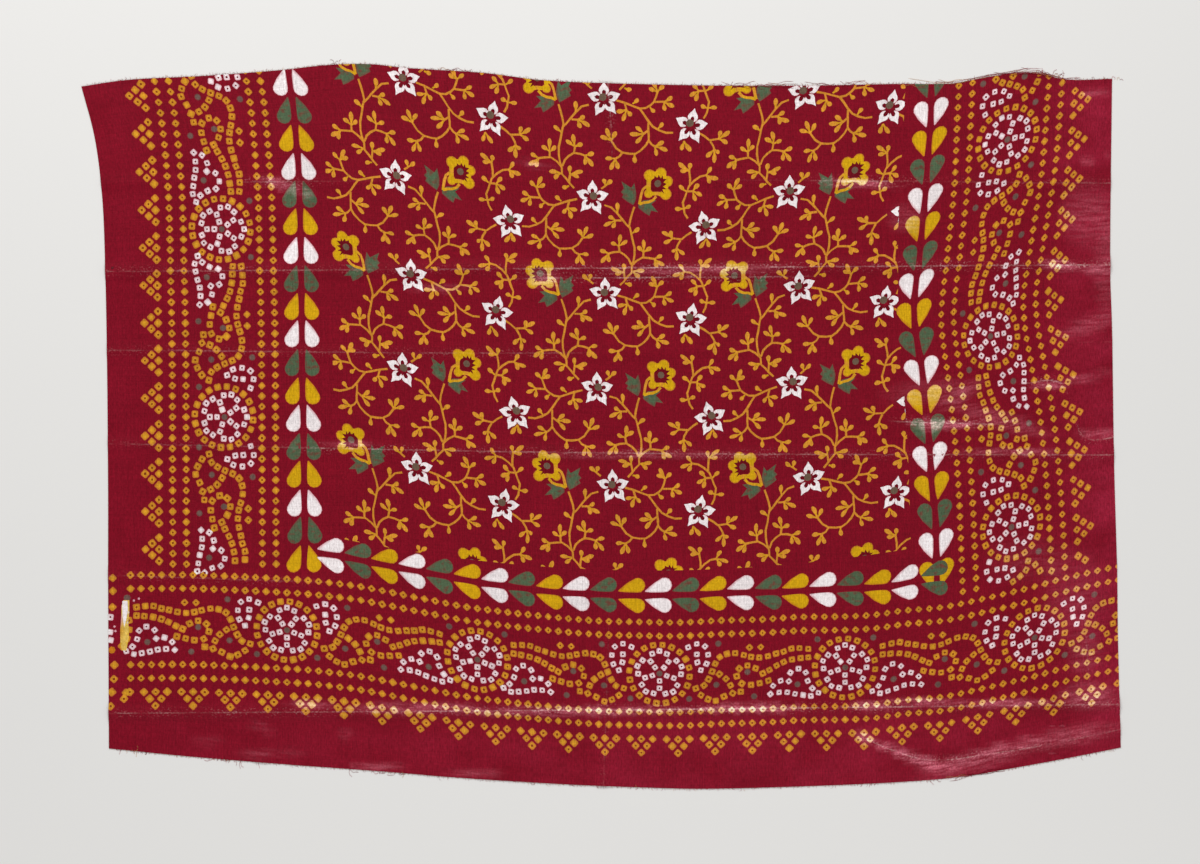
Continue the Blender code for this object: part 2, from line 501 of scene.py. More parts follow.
def dot(block, run, out, turn, size, ink, hole, filled=0.2):
    """A square dot with soft corners and, mostly, a hole in its middle."""
    if not holds(block, run):
        return
    place = place_by(block)
    fullness = climb(place(run, out)[0] / SQUARE, DRIEST, FULLEST)
    size *= hand.uniform(0.94, 1.06) * (0.93 + 0.08 * fullness)
    filled *= 0.3 + fullness
    turn += hand.uniform(-0.09, 0.09)
    cos, sin = math.cos(turn), math.sin(turn)

    def corner(a, b):
        return run + size * (a * cos - b * sin), out + size * (a * sin + b * cos)

    ink = darker(ink, hand.uniform(0.93, 1.05))
    printed(DOT_LAYER, ink, [corner(a, b) for a, b in DOT_CORNERS], place)
    reach = hand.uniform(0.36, 0.50)
    inside = flat(ink.core if hand.random() < filled else hole)
    hole_outline = [corner(reach * a, reach * b) for a, b in HOLE_CORNERS]
    printed(HOLE_LAYER, inside, hole_outline, place, HOLE_WOBBLE)


def chain(block, points, size, ink, hole, closed=False, filled=0.10):
    """A line of square dots, each turned the way that the line runs."""
    count = len(points)
    for i, (run, out) in enumerate(points):
        before = points[i - 1] if closed or i else points[i]
        after = points[(i + 1) % count] if closed or i + 1 < count else points[i]
        turn = math.atan2(after[1] - before[1], after[0] - before[0])
        dot(block, run, out, turn, size, ink, hole, filled)


def grey_spot(block, run, out):
    if not holds(block, run):
        return
    place = place_by(block)
    shade = darker(GREY_INK, hand.uniform(0.8, 1.15))
    printed(DOT_LAYER, GREY_INK, ring_of_points(run, out, GREY_SPOT_SIZE, 8), place)
    core = ring_of_points(run, out, GREY_CORE_SIZE, 6)
    printed(DOT_LAYER + 1, flat(shade.core), core, place)


def rosette(yellow, white):
    """A ring of yellow dots around petals of white ones, with a grey spot in the middle."""
    for i in range(RING_DOTS):
        turn = 2 * math.pi * i / RING_DOTS + RING_TURN
        run, out = RING_RADIUS * math.cos(turn), RING_RADIUS * math.sin(turn)
        dot(yellow, run, out, turn, SQUARE_DOT_SIZE, DOT_INK, HOLE_IN_YELLOW)
    for petal in range(PETAL_COUNT):
        for radius, aside in PETAL_DOTS:
            turn = math.radians(-90.0 + 360.0 / PETAL_COUNT * petal + aside)
            run, out = radius * math.cos(turn), radius * math.sin(turn)
            dot(white, run, out, turn, WHITE_DOT_SIZE, WHITE_INK, HOLE_IN_WHITE, 0.05)
    grey_spot(white, 0.0, 0.0)


def arm(start, end, band):
    """The paisleys, vines, rows and points between two rosettes."""
    scale = (end - start) / ARM
    yellow = Block(band.border, band.yellow_run, start, scale, 0.0)
    white = Block(band.border, band.white_run, start, scale, band.white_slip)
    grey = Block(band.border, band.white_run, start, scale, GREY_SLIP_SHARE * band.white_slip)
    for vine in (UPPER_VINE, LOWER_VINE, CURLED_TIP, BUD, SPARE_SQUARE):
        chain(yellow, vine, SQUARE_DOT_SIZE, DOT_INK, HOLE_IN_YELLOW)
    for run, out in SPARE_DIAMONDS:
        dot(yellow, run, out, math.pi / 4, ROW_DOT_SIZE, DOT_INK, HOLE_IN_YELLOW)
    chain(white, PAISLEY, WHITE_DOT_SIZE, WHITE_INK, HOLE_IN_WHITE, closed=True)
    chain(white, COMMA, WHITE_DOT_SIZE, WHITE_INK, HOLE_IN_WHITE)
    for run, out in GREY_SPOTS:
        grey_spot(grey, run, out)
    for out in ROW_PLACES:
        for k in range(DOTS_TO_AN_ARM):
            run = (k if start < end else k + 1) * ARM / DOTS_TO_AN_ARM
            dot(yellow, run, out, math.pi / 4, ROW_DOT_SIZE, DOT_INK, HOLE_IN_YELLOW, 0.22)
    for k in range(POINTS_TO_AN_ARM):
        tip = (k + 0.5) * ARM / POINTS_TO_AN_ARM
        for aside, out in SIX_DOTS:
            dot(yellow, tip + aside, out, math.pi / 4, POINT_DOT_SIZE, DOT_INK, HOLE_IN_YELLOW, 0.3)


def dotted_border(band):
    """Rosettes, and between them arms whose paisleys point now one way, now the other."""
    stations = list(zip(band.rosettes, band.rosettes[1:]))
    scale = (band.rosettes[-1] - band.rosettes[0]) / len(stations) / ARM
    slip = ROSETTE_SLIP_SHARE * band.white_slip
    for centre in band.rosettes:
        rosette(
            Block(band.border, band.yellow_run, centre, scale, 0.0),
            Block(band.border, band.white_run, centre, scale, slip),
        )
    for i, (first, second) in enumerate(stations):
        start, end = (first, second) if (i % 2 == 0) == band.paisleys_first else (second, first)
        arm(start, end, band)


dotted_border(Band(
    left_border, LEFT_ROSETTES, False, LEFT_WHITE_SLIP,
    yellow_run=(FAR_BACK, LEFT_YELLOW_END), white_run=(FAR_BACK, LEFT_WHITE_END),
))
dotted_border(Band(
    right_border, RIGHT_ROSETTES, True, 0.0,
    yellow_run=(FAR_BACK, RIGHT_END), white_run=(FAR_BACK, RIGHT_END),
))
dotted_border(Band(
    bottom_border, BOTTOM_ROSETTES, True, BOTTOM_WHITE_SLIP,
    yellow_run=(BOTTOM_START, FAR_ON), white_run=(BOTTOM_START, FAR_ON),
))


# The bad join at the lower left
# The cloth had a pleat in it here when the bottom border was printed. A strip stayed bare of the
# block, then took a smear of white and yellow, and the last dots stand twice at the edge.

SMEAR = (
    (123.5, 600), (129.5, 600), (129.5, 612), (128.5, 622), (129, 634), (128, 643), (126.5, 650.5),
    (122, 650.5), (120.5, 643), (120.5, 630), (121.5, 617), (121.5, 606),
)
SMEARED_WHITE = ((122.5, 601), (127.5, 600.5), (128.0, 609), (126.5, 619), (124.5, 627), (122.5, 616))
SMEAR_INK = Ink(
    [WHITE_INK.core] * 4 + [YELLOW_INK.core] * 5 + [DOT_INK.core] + [WHITE_INK.edge] * 2,
    dye(222, 186, 90),
)
DOUBLED_DOTS = (
    (113, 578), (113, 591), (112.5, 607), (114.5, 665), (114, 679), (112, 692), (126, 692.5),
    (111, 706),
)
DOUBLED_WHITE = ((110.5, 617), (110.5, 632), (111, 640))
FAINT_WHITE = ((134, 600.5), (139, 598.5), (114.5, 626.5), (115.5, 631))
YELLOW_SPOT = (112.0, 650.0)
GREY_SPOT = (127.0, 598.0)
DARK_SPOT = (113.0, 268.0)
YELLOW_SPOT_INK = Ink(YELLOW_INK.edge, DOT_INK.core)
DARK_SPOT_INK = Ink(dye(84, 10, 22), dye(60, 6, 14))
STRAIGHT_ON = Block(on_cloth, (FAR_BACK, FAR_ON), 0.0, 1.0, 0.0)


def print_bad_join():
    printed(HOLE_LAYER, SMEAR_INK, SMEAR, on_cloth)
    printed(HOLE_LAYER + 1, flat(WHITE_INK.core), SMEARED_WHITE, on_cloth)
    for right, down in DOUBLED_DOTS:
        dot(STRAIGHT_ON, right, down, math.pi / 4, 3.5, DOT_INK, HOLE_IN_YELLOW, 0.5)
    for right, down in DOUBLED_WHITE:
        dot(STRAIGHT_ON, right, down, 0.2, 3.0, WHITE_INK, HOLE_IN_WHITE, 0.4)
    for place in FAINT_WHITE:
        printed(DOT_LAYER, WHITE_INK, ring_of_points(*place, 1.3, 5), on_cloth)
    printed(DOT_LAYER, YELLOW_SPOT_INK, ring_of_points(*YELLOW_SPOT, 3.6, 7), on_cloth)
    grey_spot(STRAIGHT_ON, *GREY_SPOT)
    printed(DOT_LAYER, DARK_SPOT_INK, ring_of_points(*DARK_SPOT, 1.6, 6), on_cloth)


print_bad_join()


# The line of hearts
# Pairs of drops, white, green and yellow in turn, run down both sides of the field and along its
# foot. They are the largest patches of ink, so the cloth's grain shows best in them.

HEART_LENGTH = 27.0
HEART_GAP = 2.8
HEART_RADIUS = 7.4
HEART_EDGE = 1.3  # how wide the pale edge of the ink is
HEART_LAYER = 10
OVERPRINTED_HEART_LAYER = 13
HEART_INKS = (WHITE_INK, GREEN_INK, YELLOW_INK)

# The middle lines: the sides as (down, right), the foot as (right, down).
left_hearts = smooth((
    (50, 287), (80, 289.5), (108, 293.5), (138, 296), (165, 298.5), (195, 299.5), (250, 301),
    (335, 302), (390, 302.5), (420, 303.5), (505, 304.5), (533, 305), (590, 303),
))
right_hearts = smooth((
    (60, 931), (110, 931), (142, 929), (168, 927), (198, 925), (228, 922), (257, 919.5),
    (286, 915.5), (314, 914), (342, 917), (370, 922), (403, 925), (428, 928), (458, 930),
    (488, 932), (512, 935), (541, 936), (600, 937),
))
foot_hearts = smooth((
    (300, 551), (325, 554), (345, 557), (374, 563), (400, 568), (428, 573), (455, 578), (482, 583),
    (510, 586.5), (537, 590), (562, 592.5), (591, 594), (617, 595), (643, 595.5), (671, 595),
    (698, 594.5), (726, 593), (754, 592.5), (780, 592), (808, 590.5), (837, 589), (864, 588),
    (891, 586), (921, 580), (960, 576),
))
LEFT_HEART_STEP, LEFT_HEART_COUNT, LEFT_HEART_START = 28.0, 18, 69.0
RIGHT_HEART_STEP, RIGHT_HEART_COUNT, RIGHT_HEART_START = 28.75, 18, 70.3
FOOT_HEART_STEP, FOOT_HEART_COUNT, FOOT_HEART_START = 27.35, 22, 317.0
LAST_FOOT_HEART = 921.0
RIGHT_CLIMB = -0.22  # the right hand column leans with the weft


def drop_outline(inset):
    """Half a heart, as (out from the middle line, up from the tip): a drop with a round end."""
    radius = HEART_RADIUS - inset
    out, up = HEART_GAP + HEART_RADIUS, HEART_LENGTH - HEART_RADIUS
    turns = [math.radians(a) for a in (185, 155, 125, 95, 65, 35, 8, -18)]
    round_end = [(out + radius * math.cos(t), up + radius * math.sin(t)) for t in turns]
    if inset:
        return [(4.4, 4.5)] + round_end + [(9.6, 9.2)]
    return [(4.7, 0.1), (3.7, 0.2), (3.0, 7.0)] + round_end + [(12.6, 9.3), (8.6, 4.6)]


def heart(ink, place, layer=HEART_LAYER):
    for side in (-1, 1):
        shade = darker(ink, hand.uniform(0.95, 1.04))
        printed(layer, shade, [(side * o, u) for o, u in drop_outline(0.0)], place)
        inner = [(side * o, u) for o, u in drop_outline(HEART_EDGE)]
        printed(layer + 1, flat(shade.core), inner, place)


def print_hearts():
    for k in range(LEFT_HEART_COUNT):
        tip = LEFT_HEART_START + LEFT_HEART_STEP * k + hand.uniform(-0.7, 0.7)
        heart(HEART_INKS[k % 3], lambda out, up: on_cloth(left_hearts(tip + up) + out, tip + up))
    for k in range(RIGHT_HEART_COUNT):
        tip = RIGHT_HEART_START + RIGHT_HEART_STEP * k + HEART_LENGTH + hand.uniform(-0.7, 0.7)
        heart(
            HEART_INKS[(1 - k) % 3],
            lambda out, up: on_cloth(right_hearts(tip - up) + out, tip - up + RIGHT_CLIMB * out),
        )
    for k in range(FOOT_HEART_COUNT):
        tip = FOOT_HEART_START + FOOT_HEART_STEP * k + hand.uniform(-0.5, 0.5)
        heart(HEART_INKS[k % 3], lambda out, up: on_cloth(tip + up, foot_hearts(tip + up) + out))
    # The foot's last green pair went over the column's last yellow one.
    heart(
        GREEN_INK,
        lambda out, up: on_cloth(LAST_FOOT_HEART + up, foot_hearts(LAST_FOOT_HEART + up) + out),
        OVERPRINTED_HEART_LAYER,
    )


print_hearts()


# The field
# A trailing stem with leaves in threes, two white flowers and a yellow one with a green leaf. The
# same half repeat is printed the right way round and turned over, in rows set half a step apart.

FIELD_STEP = 196.5
FIELD_DROP = 193.0
TURNED_SHIFT = -11.0
FIELD_LEFT, FIELD_RIGHT, FIELD_FOOT = -277.0, 298.0, 569.5

# How the rows and columns of the flat chart lie on the cloth, as (flat place, place or stretch).
field_row = smooth((
    (-200.0, -101.0), (-96.5, 1.0), (0.0, 97.0), (96.5, 197.0), (193.0, 292.0), (289.5, 388.0),
    (386.0, 484.0), (482.5, 580.0), (580.0, 677.0),
))
field_middle = smooth(((-100, 602), (97, 602), (292, 603.5), (484, 611), (700, 616)))
field_spread = smooth(((-100, 1.03), (90, 1.02), (285, 0.9875), (478, 0.997), (700, 1.0)))

STEM_LAYER = 12
LEAF_LAYER = 13
FLOWER_LAYER = 16
FLOWER_CORE_LAYER = 18

Spray = namedtuple("Spray", "stem leaf_tips")

# Each spray is a stem, right and down from the first white flower, and the tips of the leaves
# that spring from its end.
SPRAYS = (
    Spray(((-43, 9), (-41, 15), (-39, 22), (-38, 28), (-39.5, 34), (-41, 42), (-43, 50), (-43, 58),
           (-42, 64), (-40, 70), (-40, 76), (-36, 80), (-32, 85), (-28, 89)), ()),
    Spray(((-13, 8), (-20, 10), (-26, 16), (-31, 22), (-35, 27), (-39, 31)), ()),
    Spray(((-26, 16),), ((-26, 5),)),
    Spray(((-30, 23), (-24, 23)), ((-17, 19), (-12, 29), (-21, 31))),
    Spray(((-40, 36),), ((-48, 30),)),
    Spray(((-40, 69), (-45, 64), (-51, 60.5), (-57, 61), (-63, 62)),
          ((-71, 58), (-73, 69), (-66, 71))),
    Spray(((-52, 60), (-52, 55)), ((-52, 42), (-60, 50), (-46, 49))),
    Spray(((-39.5, 68), (-37, 62), (-33, 58), (-28, 55), (-22, 55.5), (-17, 57)),
          ((-8, 54), (-17, 66), (-9, 67))),
    Spray(((-28, 55), (-27, 49)), ((-29, 37), (-36, 43), (-19, 46))),
    Spray(((-41, 75),), ((-53, 74), (-48, 81))),
    Spray(((-33, 83), (-32, 76)), ((-32, 67), (-19, 72), (-23, 78))),
    Spray(((-33, 87),), ((-40, 89),)),
    Spray(((14, 3), (22, 5), (30, 8), (37, 10.5)), ()),
    Spray(((30, 6),), ((36, 1),)),
    Spray(((22, 5), (24, 12)), ((14, 14), (20, 23), (29, 18))),
    Spray(((37, 10.5), (43, 10), (48, 7), (51, 4), (53, -1), (54.5, -6)),
          ((49, -17), (46, -10), (61, -12))),
    Spray(((52, 4), (58, 4), (61, 4)), ((69, -1), (71, 9), (62, 13))),
    Spray(((47, 9),), ((52, 14),)),
    Spray(((37, 10.5), (41, 16), (45, 22), (50, 28), (56, 31.5), (63, 34), (70, 34)), ()),
    Spray(((55, 30),), ((60, 24),)),
    Spray(((45.5, 24), (45.5, 30), (46, 36), (46, 41)), ()),
    Spray(((45, 32), (41, 35)), ((33, 28), (27, 35), (33, 44))),
    Spray(((46, 41), (43, 46), (38, 51), (33, 54), (27, 54), (20, 53), (14, 49), (9, 42)),
          ((4, 30), (-2, 38), (14, 33))),
    Spray(((32, 54),), ((32.5, 63),)),
    Spray(((20, 53), (17, 57), (13, 59)), ((3, 59), (8, 70), (16, 69))),
    Spray(((46, 41), (49, 45), (52, 47)), ((61, 42), (65, 51), (54, 56))),
    Spray(((100, 21), (103, 16), (104, 11), (105, 5), (103, 0), (101, -6), (99, -11), (94, -16),
           (88, -20), (82, -21)), ((77, -29), (70, -17), (78, -13))),
    Spray(((98, -12), (98, -18), (99, -26)), ((98, -33.5), (110, -34), (108, -26))),
    Spray(((101, -6), (95, -6)), ((89, -13), (86, -1), (92, 4))),
    Spray(((102, -6),), ((109, -12),)),
    Spray(((104, 11),), ((97, 8), (113, 11))),
    Spray(((81, 42),), ((78, 51), (88, 52))),
    Spray(((96, 35), (101, 38), (106, 42), (115, 41)), ((117, 33), (126, 34), (124, 46))),
    Spray(((107, 43), (110, 48), (111, 51)), ((103, 58), (111, 64), (116, 55))),
    Spray(((-10, -8), (-14, -11)), ((-21, -17), (-12, -18))),
)
# The two white flowers: the middle of the petals, how far they are turned, and the eye, which is
# printed by another block and sits a little high.
WhiteFlower = namedtuple("WhiteFlower", "middle turn eye")
WHITE_FLOWERS = (
    WhiteFlower((2.0, 2.2), 0.0, (0.8, 0.2)),
    WhiteFlower((87.5, 28.0), -13.0, (86.5, 25.0)),
)
YELLOW_FLOWER = (-64, -14)
# In the turned rows the flowers' blocks were set a little off the stems, most at the right end.
TURNED_WHITE_FLOWERS = (
    WhiteFlower((-1.0, 1.2), 0.0, (-2.2, -0.8)),
    WhiteFlower((82.5, 31.0), -13.0, (81.5, 28.0)),
)
END_WHITE_FLOWERS = (TURNED_WHITE_FLOWERS[0], WhiteFlower((75.5, 34.5), -13.0, (74.5, 31.5)))
TURNED_YELLOW_FLOWER = (-66.5, -12.5)
LAST_YELLOW_FLOWER = (-66.5, -6.5)

# The white petals: each one's turn, anticlockwise from the right in degrees, and its reach. Then,
# out from the flower's middle and aside, one side of a petal and one side of the red slit in it.
PETALS = ((91, 17.6), (20, 16.8), (-50, 18.6), (-118, 18.2), (164, 16.9))
PETAL_SIDE = ((4.7, 2.8), (6.2, 4.3), (8.8, 5.0), (11.4, 4.2), (14.2, 1.9))
PETAL_SLIT = ((3.0, 1.2), (5.6, 1.9), (8.0, 1.9))
SLIT_END = 9.6

# The yellow flower, right and down from its own middle: lobes with their size, and bars.
LOBES = ((8.5, -9.5, 5.8), (-3, -11.5, 5.6), (-9.5, -3.5, 5.4), (-8, 9, 5.8), (9.5, 8.5, 4.5))
BARS = (
    (((8, -10), (-3, -10.5)), 5.5),
    (((-5, -9), (-8, -4), (-7, 8)), 5.5),
    (((9, -8), (9.2, 0), (9.5, 6)), 4.2),
    (((-6, 10), (0, 8.2), (8, 8.5)), 4.0),
    (((11.0, 1.0), (14.8, 4.0), (16.6, 9), (17.6, 14), (18.6, 19)), 2.7),
    (((1.5, 11.0), (5, 15.0), (9.5, 16.8), (14, 17.2), (18.6, 19)), 2.7),
)
YELLOW_EYE = (
    (-5, -6), (-4.5, -9.5), (-3, -6.5), (-0.5, -10), (0.5, -6.5), (3.2, -9), (4, -6.5), (6.3, -5),
    (6.8, 3), (5, 5.6), (0, 5.6), (-3, 5.8), (-6.5, 8.5), (-4.5, 4.2), (-8.5, 4), (-5, 1.5),
    (-9, -1), (-5.5, -2.5), (-8.8, -5.8),
)
YELLOW_FLOWER_EYE = (0.3, -1.4)
LOBE_EDGE = 1.6
WHITE_FLOWER_EYE_SIZE, YELLOW_FLOWER_EYE_SIZE = 3.9, 3.5
EYE_INK = flat(dye(106, 86, 70))
PETAL_INK = paler_tip(dye(224, 190, 192), dye(240, 230, 230))
LEAF_INK = paler_tip(dye(204, 148, 24), LEAF_YELLOW)
STEM_INK = flat(dye(204, 134, 44))
LOBE_INK = Ink(DOT_INK.edge, YELLOW_INK.core)
BAR_INK = Ink(LEAF_YELLOW, YELLOW_INK.core)
STEM_WIDTH = 2.0
LEAF_CORE_SHARE = 0.6

# Half a leaf, as its share of the length and of the width.
LEAF_SIDE = ((0.0, 0.35), (0.30, 0.42), (0.50, 0.88), (0.74, 1.0), (0.92, 0.62))

GREEN_LEAVES = (
    ((-42, 7.5), (-44.5, 2), (-45, -4), (-43, -14.5), (-40, -9.5), (-30, -16), (-32.5, -9),
     (-29.5, -5.5), (-32, -3), (-30.5, 0), (-36, 4)),
    ((-47, 6.5), (-52, 2.5), (-57, 2), (-65, 2.5), (-60, 6.5), (-67, 14.5), (-60, 13), (-58, 18),
     (-53, 15), (-47, 10)),
)


def field_place(across, down):
    """A place of the flat chart on the cloth, kept inside the block's edges."""
    across = min(max(across, FIELD_LEFT), FIELD_RIGHT)
    row = min(field_row(down), FIELD_FOOT)
    right = field_middle(row) + across * field_spread(row)
    return on_cloth(right, row + weft_line(right))


def print_leaf(base, tip, place):
    """A leaf like a drop, from its stalk to its tip, a little bent."""
    run_x, run_y = tip[0] - base[0], tip[1] - base[1]
    length = math.hypot(run_x, run_y)
    side_x, side_y = -run_y / length, run_x / length
    bend = hand.uniform(-0.6, 0.6)
    wide = min(2.2, 0.30 * length) * hand.uniform(0.92, 1.06)

    def beside(share, half):
        sway = bend * math.sin(math.pi * share)
        reach = half * wide + sway
        return base[0] + run_x * share + side_x * reach, base[1] + run_y * share + side_y * reach

    printed(LEAF_LAYER, LEAF_INK, both_sides(LEAF_SIDE, 1.0, beside), place)


def print_stroke(points, width, layer, ink, place):
    """A line of ink through a few points."""
    outline, back = [], []
    last = len(points) - 1
    for i, (right, down) in enumerate(points):
        before, after = points[max(i - 1, 0)], points[min(i + 1, last)]
        run_x, run_y = after[0] - before[0], after[1] - before[1]
        length = math.hypot(run_x, run_y)
        half = width / 2 * hand.uniform(0.9, 1.1)
        outline.append((right - run_y / length * half, down + run_x / length * half))
        back.append((right + run_y / length * half, down - run_x / length * half))
    printed(layer, ink, outline + back[::-1], place)


def print_white_flower(flower, place):
    for turn_degrees, reach in PETALS:
        turn = math.radians(-turn_degrees - flower.turn)
        cos, sin = math.cos(turn), math.sin(turn)

        def petal_point(r, s):
            return flower.middle[0] + r * cos - s * sin, flower.middle[1] + r * sin + s * cos

        petal = both_sides(PETAL_SIDE, reach, petal_point)
        printed(FLOWER_LAYER, PETAL_INK, petal, place)
        slit = both_sides(PETAL_SLIT, SLIT_END, petal_point)
        printed(FLOWER_CORE_LAYER, flat(DEEP_RED), slit, place)
    eye = ring_of_points(*flower.eye, WHITE_FLOWER_EYE_SIZE, 9)
    printed(FLOWER_CORE_LAYER + 1, EYE_INK, eye, place)


def print_yellow_flower(centre, place):
    def from_centre(points):
        return [(centre[0] + right, centre[1] + down) for right, down in points]

    for right, down, radius in LOBES:
        rim = ring_of_points(centre[0] + right, centre[1] + down, radius, 11)
        core = ring_of_points(centre[0] + right, centre[1] + down, radius - LOBE_EDGE, 9)
        printed(FLOWER_LAYER, LOBE_INK, rim, place)
        printed(FLOWER_LAYER + 1, flat(YELLOW_INK.core), core, place)
    for points, width in BARS:
        print_stroke(from_centre(points), width, FLOWER_LAYER, BAR_INK, place)
    printed(FLOWER_CORE_LAYER, flat(DEEP_RED), from_centre(YELLOW_EYE), place)
    eye_right, eye_down = YELLOW_FLOWER_EYE
    eye = ring_of_points(centre[0] + eye_right, centre[1] + eye_down, YELLOW_FLOWER_EYE_SIZE, 8)
    printed(FLOWER_CORE_LAYER + 1, EYE_INK, eye, place)


def print_half_repeat(place, white_flowers, yellow_flower, green_leaves):
    for spray in SPRAYS:
        if len(spray.stem) > 1:
            print_stroke(spray.stem, STEM_WIDTH, STEM_LAYER, STEM_INK, place)
        for tip in spray.leaf_tips:
            print_leaf(spray.stem[-1], tip, place)
    for leaf in green_leaves:
        middle_right = sum(p[0] for p in leaf) / len(leaf)
        middle_down = sum(p[1] for p in leaf) / len(leaf)
        core = []
        for right, down in leaf:
            core_right = middle_right + LEAF_CORE_SHARE * (right - middle_right)
            core.append((core_right, middle_down + LEAF_CORE_SHARE * (down - middle_down)))
        printed(LEAF_LAYER + 1, GREEN_INK, leaf, place)
        printed(LEAF_LAYER + 2, flat(GREEN_INK.core), core, place)
    for flower in white_flowers:
        print_white_flower(flower, place)
    print_yellow_flower(yellow_flower, place)


def upright_row(column, row):
    return lambda right, down: field_place(FIELD_STEP * column + right, FIELD_DROP * row + down)


def turned_row(column, row):
    return lambda right, down: field_place(
        FIELD_STEP * column + TURNED_SHIFT - right, FIELD_DROP * (row + 0.5) + down
    )


def print_field():
    for row in (0, 1, 2):
        for column in (-1, 0, 1):
            print_half_repeat(upright_row(column, row), WHITE_FLOWERS, YELLOW_FLOWER, GREEN_LEAVES)
    flowers_by_column = {
        -1: TURNED_WHITE_FLOWERS[:1], 0: TURNED_WHITE_FLOWERS, 1: TURNED_WHITE_FLOWERS,
        2: END_WHITE_FLOWERS,
    }
    for row in (-1, 0, 1):
        for column, flowers in flowers_by_column.items():
            print_half_repeat(turned_row(column, row), flowers, TURNED_YELLOW_FLOWER, GREEN_LEAVES)
    # The field's foot takes only the stems and the tops of the yellow flowers of one more row.
    for column in flowers_by_column:
        print_half_repeat(turned_row(column, 2), (), LAST_YELLOW_FLOWER, ())


print_field()


# The cloth's surface
# The sheet is cut into small triangles along the edge of every mark, so that each mark is a part
# of the cloth itself, in the colour of its ink, and follows the folds with it.

GRID_STEP = 5.0
CLEAR_OF_MARKS = 1.7
CREST_LINES = (-9.0, -6.0, -3.0, -1.0, 0.0, 1.0, 3.0, 6.0, 9.0)
UNDERSIDE_STEP = 9.0
CLEAR_OF_RIM = 3.0
UNDERSIDE_LINES = (-9.0, -4.5, 0.0, 4.5, 9.0)
PAST_THE_CLOTH = 12.0
SLOPE_STEP = 0.6
CELL = 3.0
INSIDE_OUTLINE = 1  # what delaunay_2d_cdt is asked for: the triangles inside the outline
CLOSEST_POINTS = 1e-4  # millimetres


def covers(polygon, x, y):
    """Whether a polygon covers a place, by the sides that a line from it crosses."""
    inside = False
    last_x, last_y = polygon[-1]
    for next_x, next_y in polygon:
        if (next_y > y) != (last_y > y):
            if x < (last_x - next_x) * (y - next_y) / (last_y - next_y) + next_x:
                inside = not inside
        last_x, last_y = next_x, next_y
    return inside


def marks_by_cell():
    """The marks that reach each small square of the cloth, the topmost first."""
    cells = {}
    order = sorted(range(len(marks)), key=lambda i: (marks[i].layer, i), reverse=True)
    for i in order:
        xs, ys = zip(*marks[i].points)
        for column in range(int(min(xs) // CELL), int(max(xs) // CELL) + 1):
            for row in range(int(min(ys) // CELL), int(max(ys) // CELL) + 1):
                cells.setdefault((column, row), []).append(i)
    return cells


def filling_points(step, crest_lines, taken, clear):
    """Points between the marks, closer together across the folds."""
    points, cells = [], {}
    for x, y in taken:
        cells.setdefault((int(x // clear), int(y // clear)), []).append((x, y))

    def free(x, y):
        column, row = int(x // clear), int(y // clear)
        for i in (column - 1, column, column + 1):
            for j in (row - 1, row, row + 1):
                for other in cells.get((i, j), ()):
                    if math.hypot(x - other[0], y - other[1]) < clear * 0.9:
                        return False
        return True

    def add(x, y):
        if within(x, y, clear) and free(x, y):
            points.append((x, y))
            cells.setdefault((int(x // clear), int(y // clear)), []).append((x, y))

    half_width, half_height = LOOM_WIDTH / 2 + PAST_THE_CLOTH, CUT_LENGTH / 2 + PAST_THE_CLOTH
    for fold in FOLDS:
        for offset in crest_lines:
            x = -half_width
            while x < half_width:
                add(x, fold.height(x) + offset)
                x += step
    rows = int(2 * half_height / step)
    columns = int(2 * half_width / step)
    for row in range(rows + 1):
        for column in range(columns + 1):
            shift = 0.5 * step * (row % 2)
            add(-half_width + column * step + shift, -half_height + row * step)
    return points


def build_surface():
    """The face as triangles: their corners' places, the triangles, and each corner's colour."""
    outline = outline_points()
    points = [Vector(p) for p in outline]
    edges = []
    owners = {}
    for i, mark in enumerate(marks):
        start, count = len(points), len(mark.points)
        points += [Vector(p) for p in mark.points]
        edges += [(start + k, start + (k + 1) % count) for k in range(count)]
        owners.update({start + k: (i, mark.edge[k]) for k in range(count)})
    taken = [(p.x, p.y) for p in points]
    points += [Vector(p) for p in filling_points(GRID_STEP, CREST_LINES, taken, CLEAR_OF_MARKS)]
    places, _, triangles, sources, _, patches = delaunay_2d_cdt(
        points, edges, [list(range(len(outline)))], INSIDE_OUTLINE, CLOSEST_POINTS
    )
    cells = marks_by_cell()
    kept, colours = [], []
    for triangle, patch in zip(triangles, patches):
        if not patch:
            continue
        kept.append(triangle)
        x = sum(places[v].x for v in triangle) / 3
        y = sum(places[v].y for v in triangle) / 3
        near = cells.get((int(x // CELL), int(y // CELL)), ())
        top = next((i for i in near if covers(marks[i].points, x, y)), None)
        if top is None:
            colours.append([MADDER_RED] * 3)
            continue
        corners = []
        for v in triangle:
            own = [owners[p][1] for p in sources[v] if p in owners and owners[p][0] == top]
            corners.append(own[0] if own else marks[top].core)
        colours.append(corners)
    return places, kept, colours


surface_points, triangles, colours = build_surface()


def face_normal_at(x, y):
    """The way that the cloth faces at a place, worked out from its rise."""
    step = SLOPE_STEP
    slope_x = (rise_at(x + step, y) - rise_at(x - step, y)) / (2 * step)
    slope_y = (rise_at(x, y + step) - rise_at(x, y - step)) / (2 * step)
    return Vector((-slope_x, -slope_y, 1.0)).normalized()


def border_loop(faces):
    """The outline of a patch of triangles, anticlockwise, as vertex numbers."""
    half_edges = set()
    for face in faces:
        for a, b in zip(face, face[1:] + face[:1]):
            half_edges.add((a, b))
    following = {a: b for a, b in half_edges if (b, a) not in half_edges}
    start = min(following)
    loop = [start]
    while following[loop[-1]] != start:
        loop.append(following[loop[-1]])
    return loop


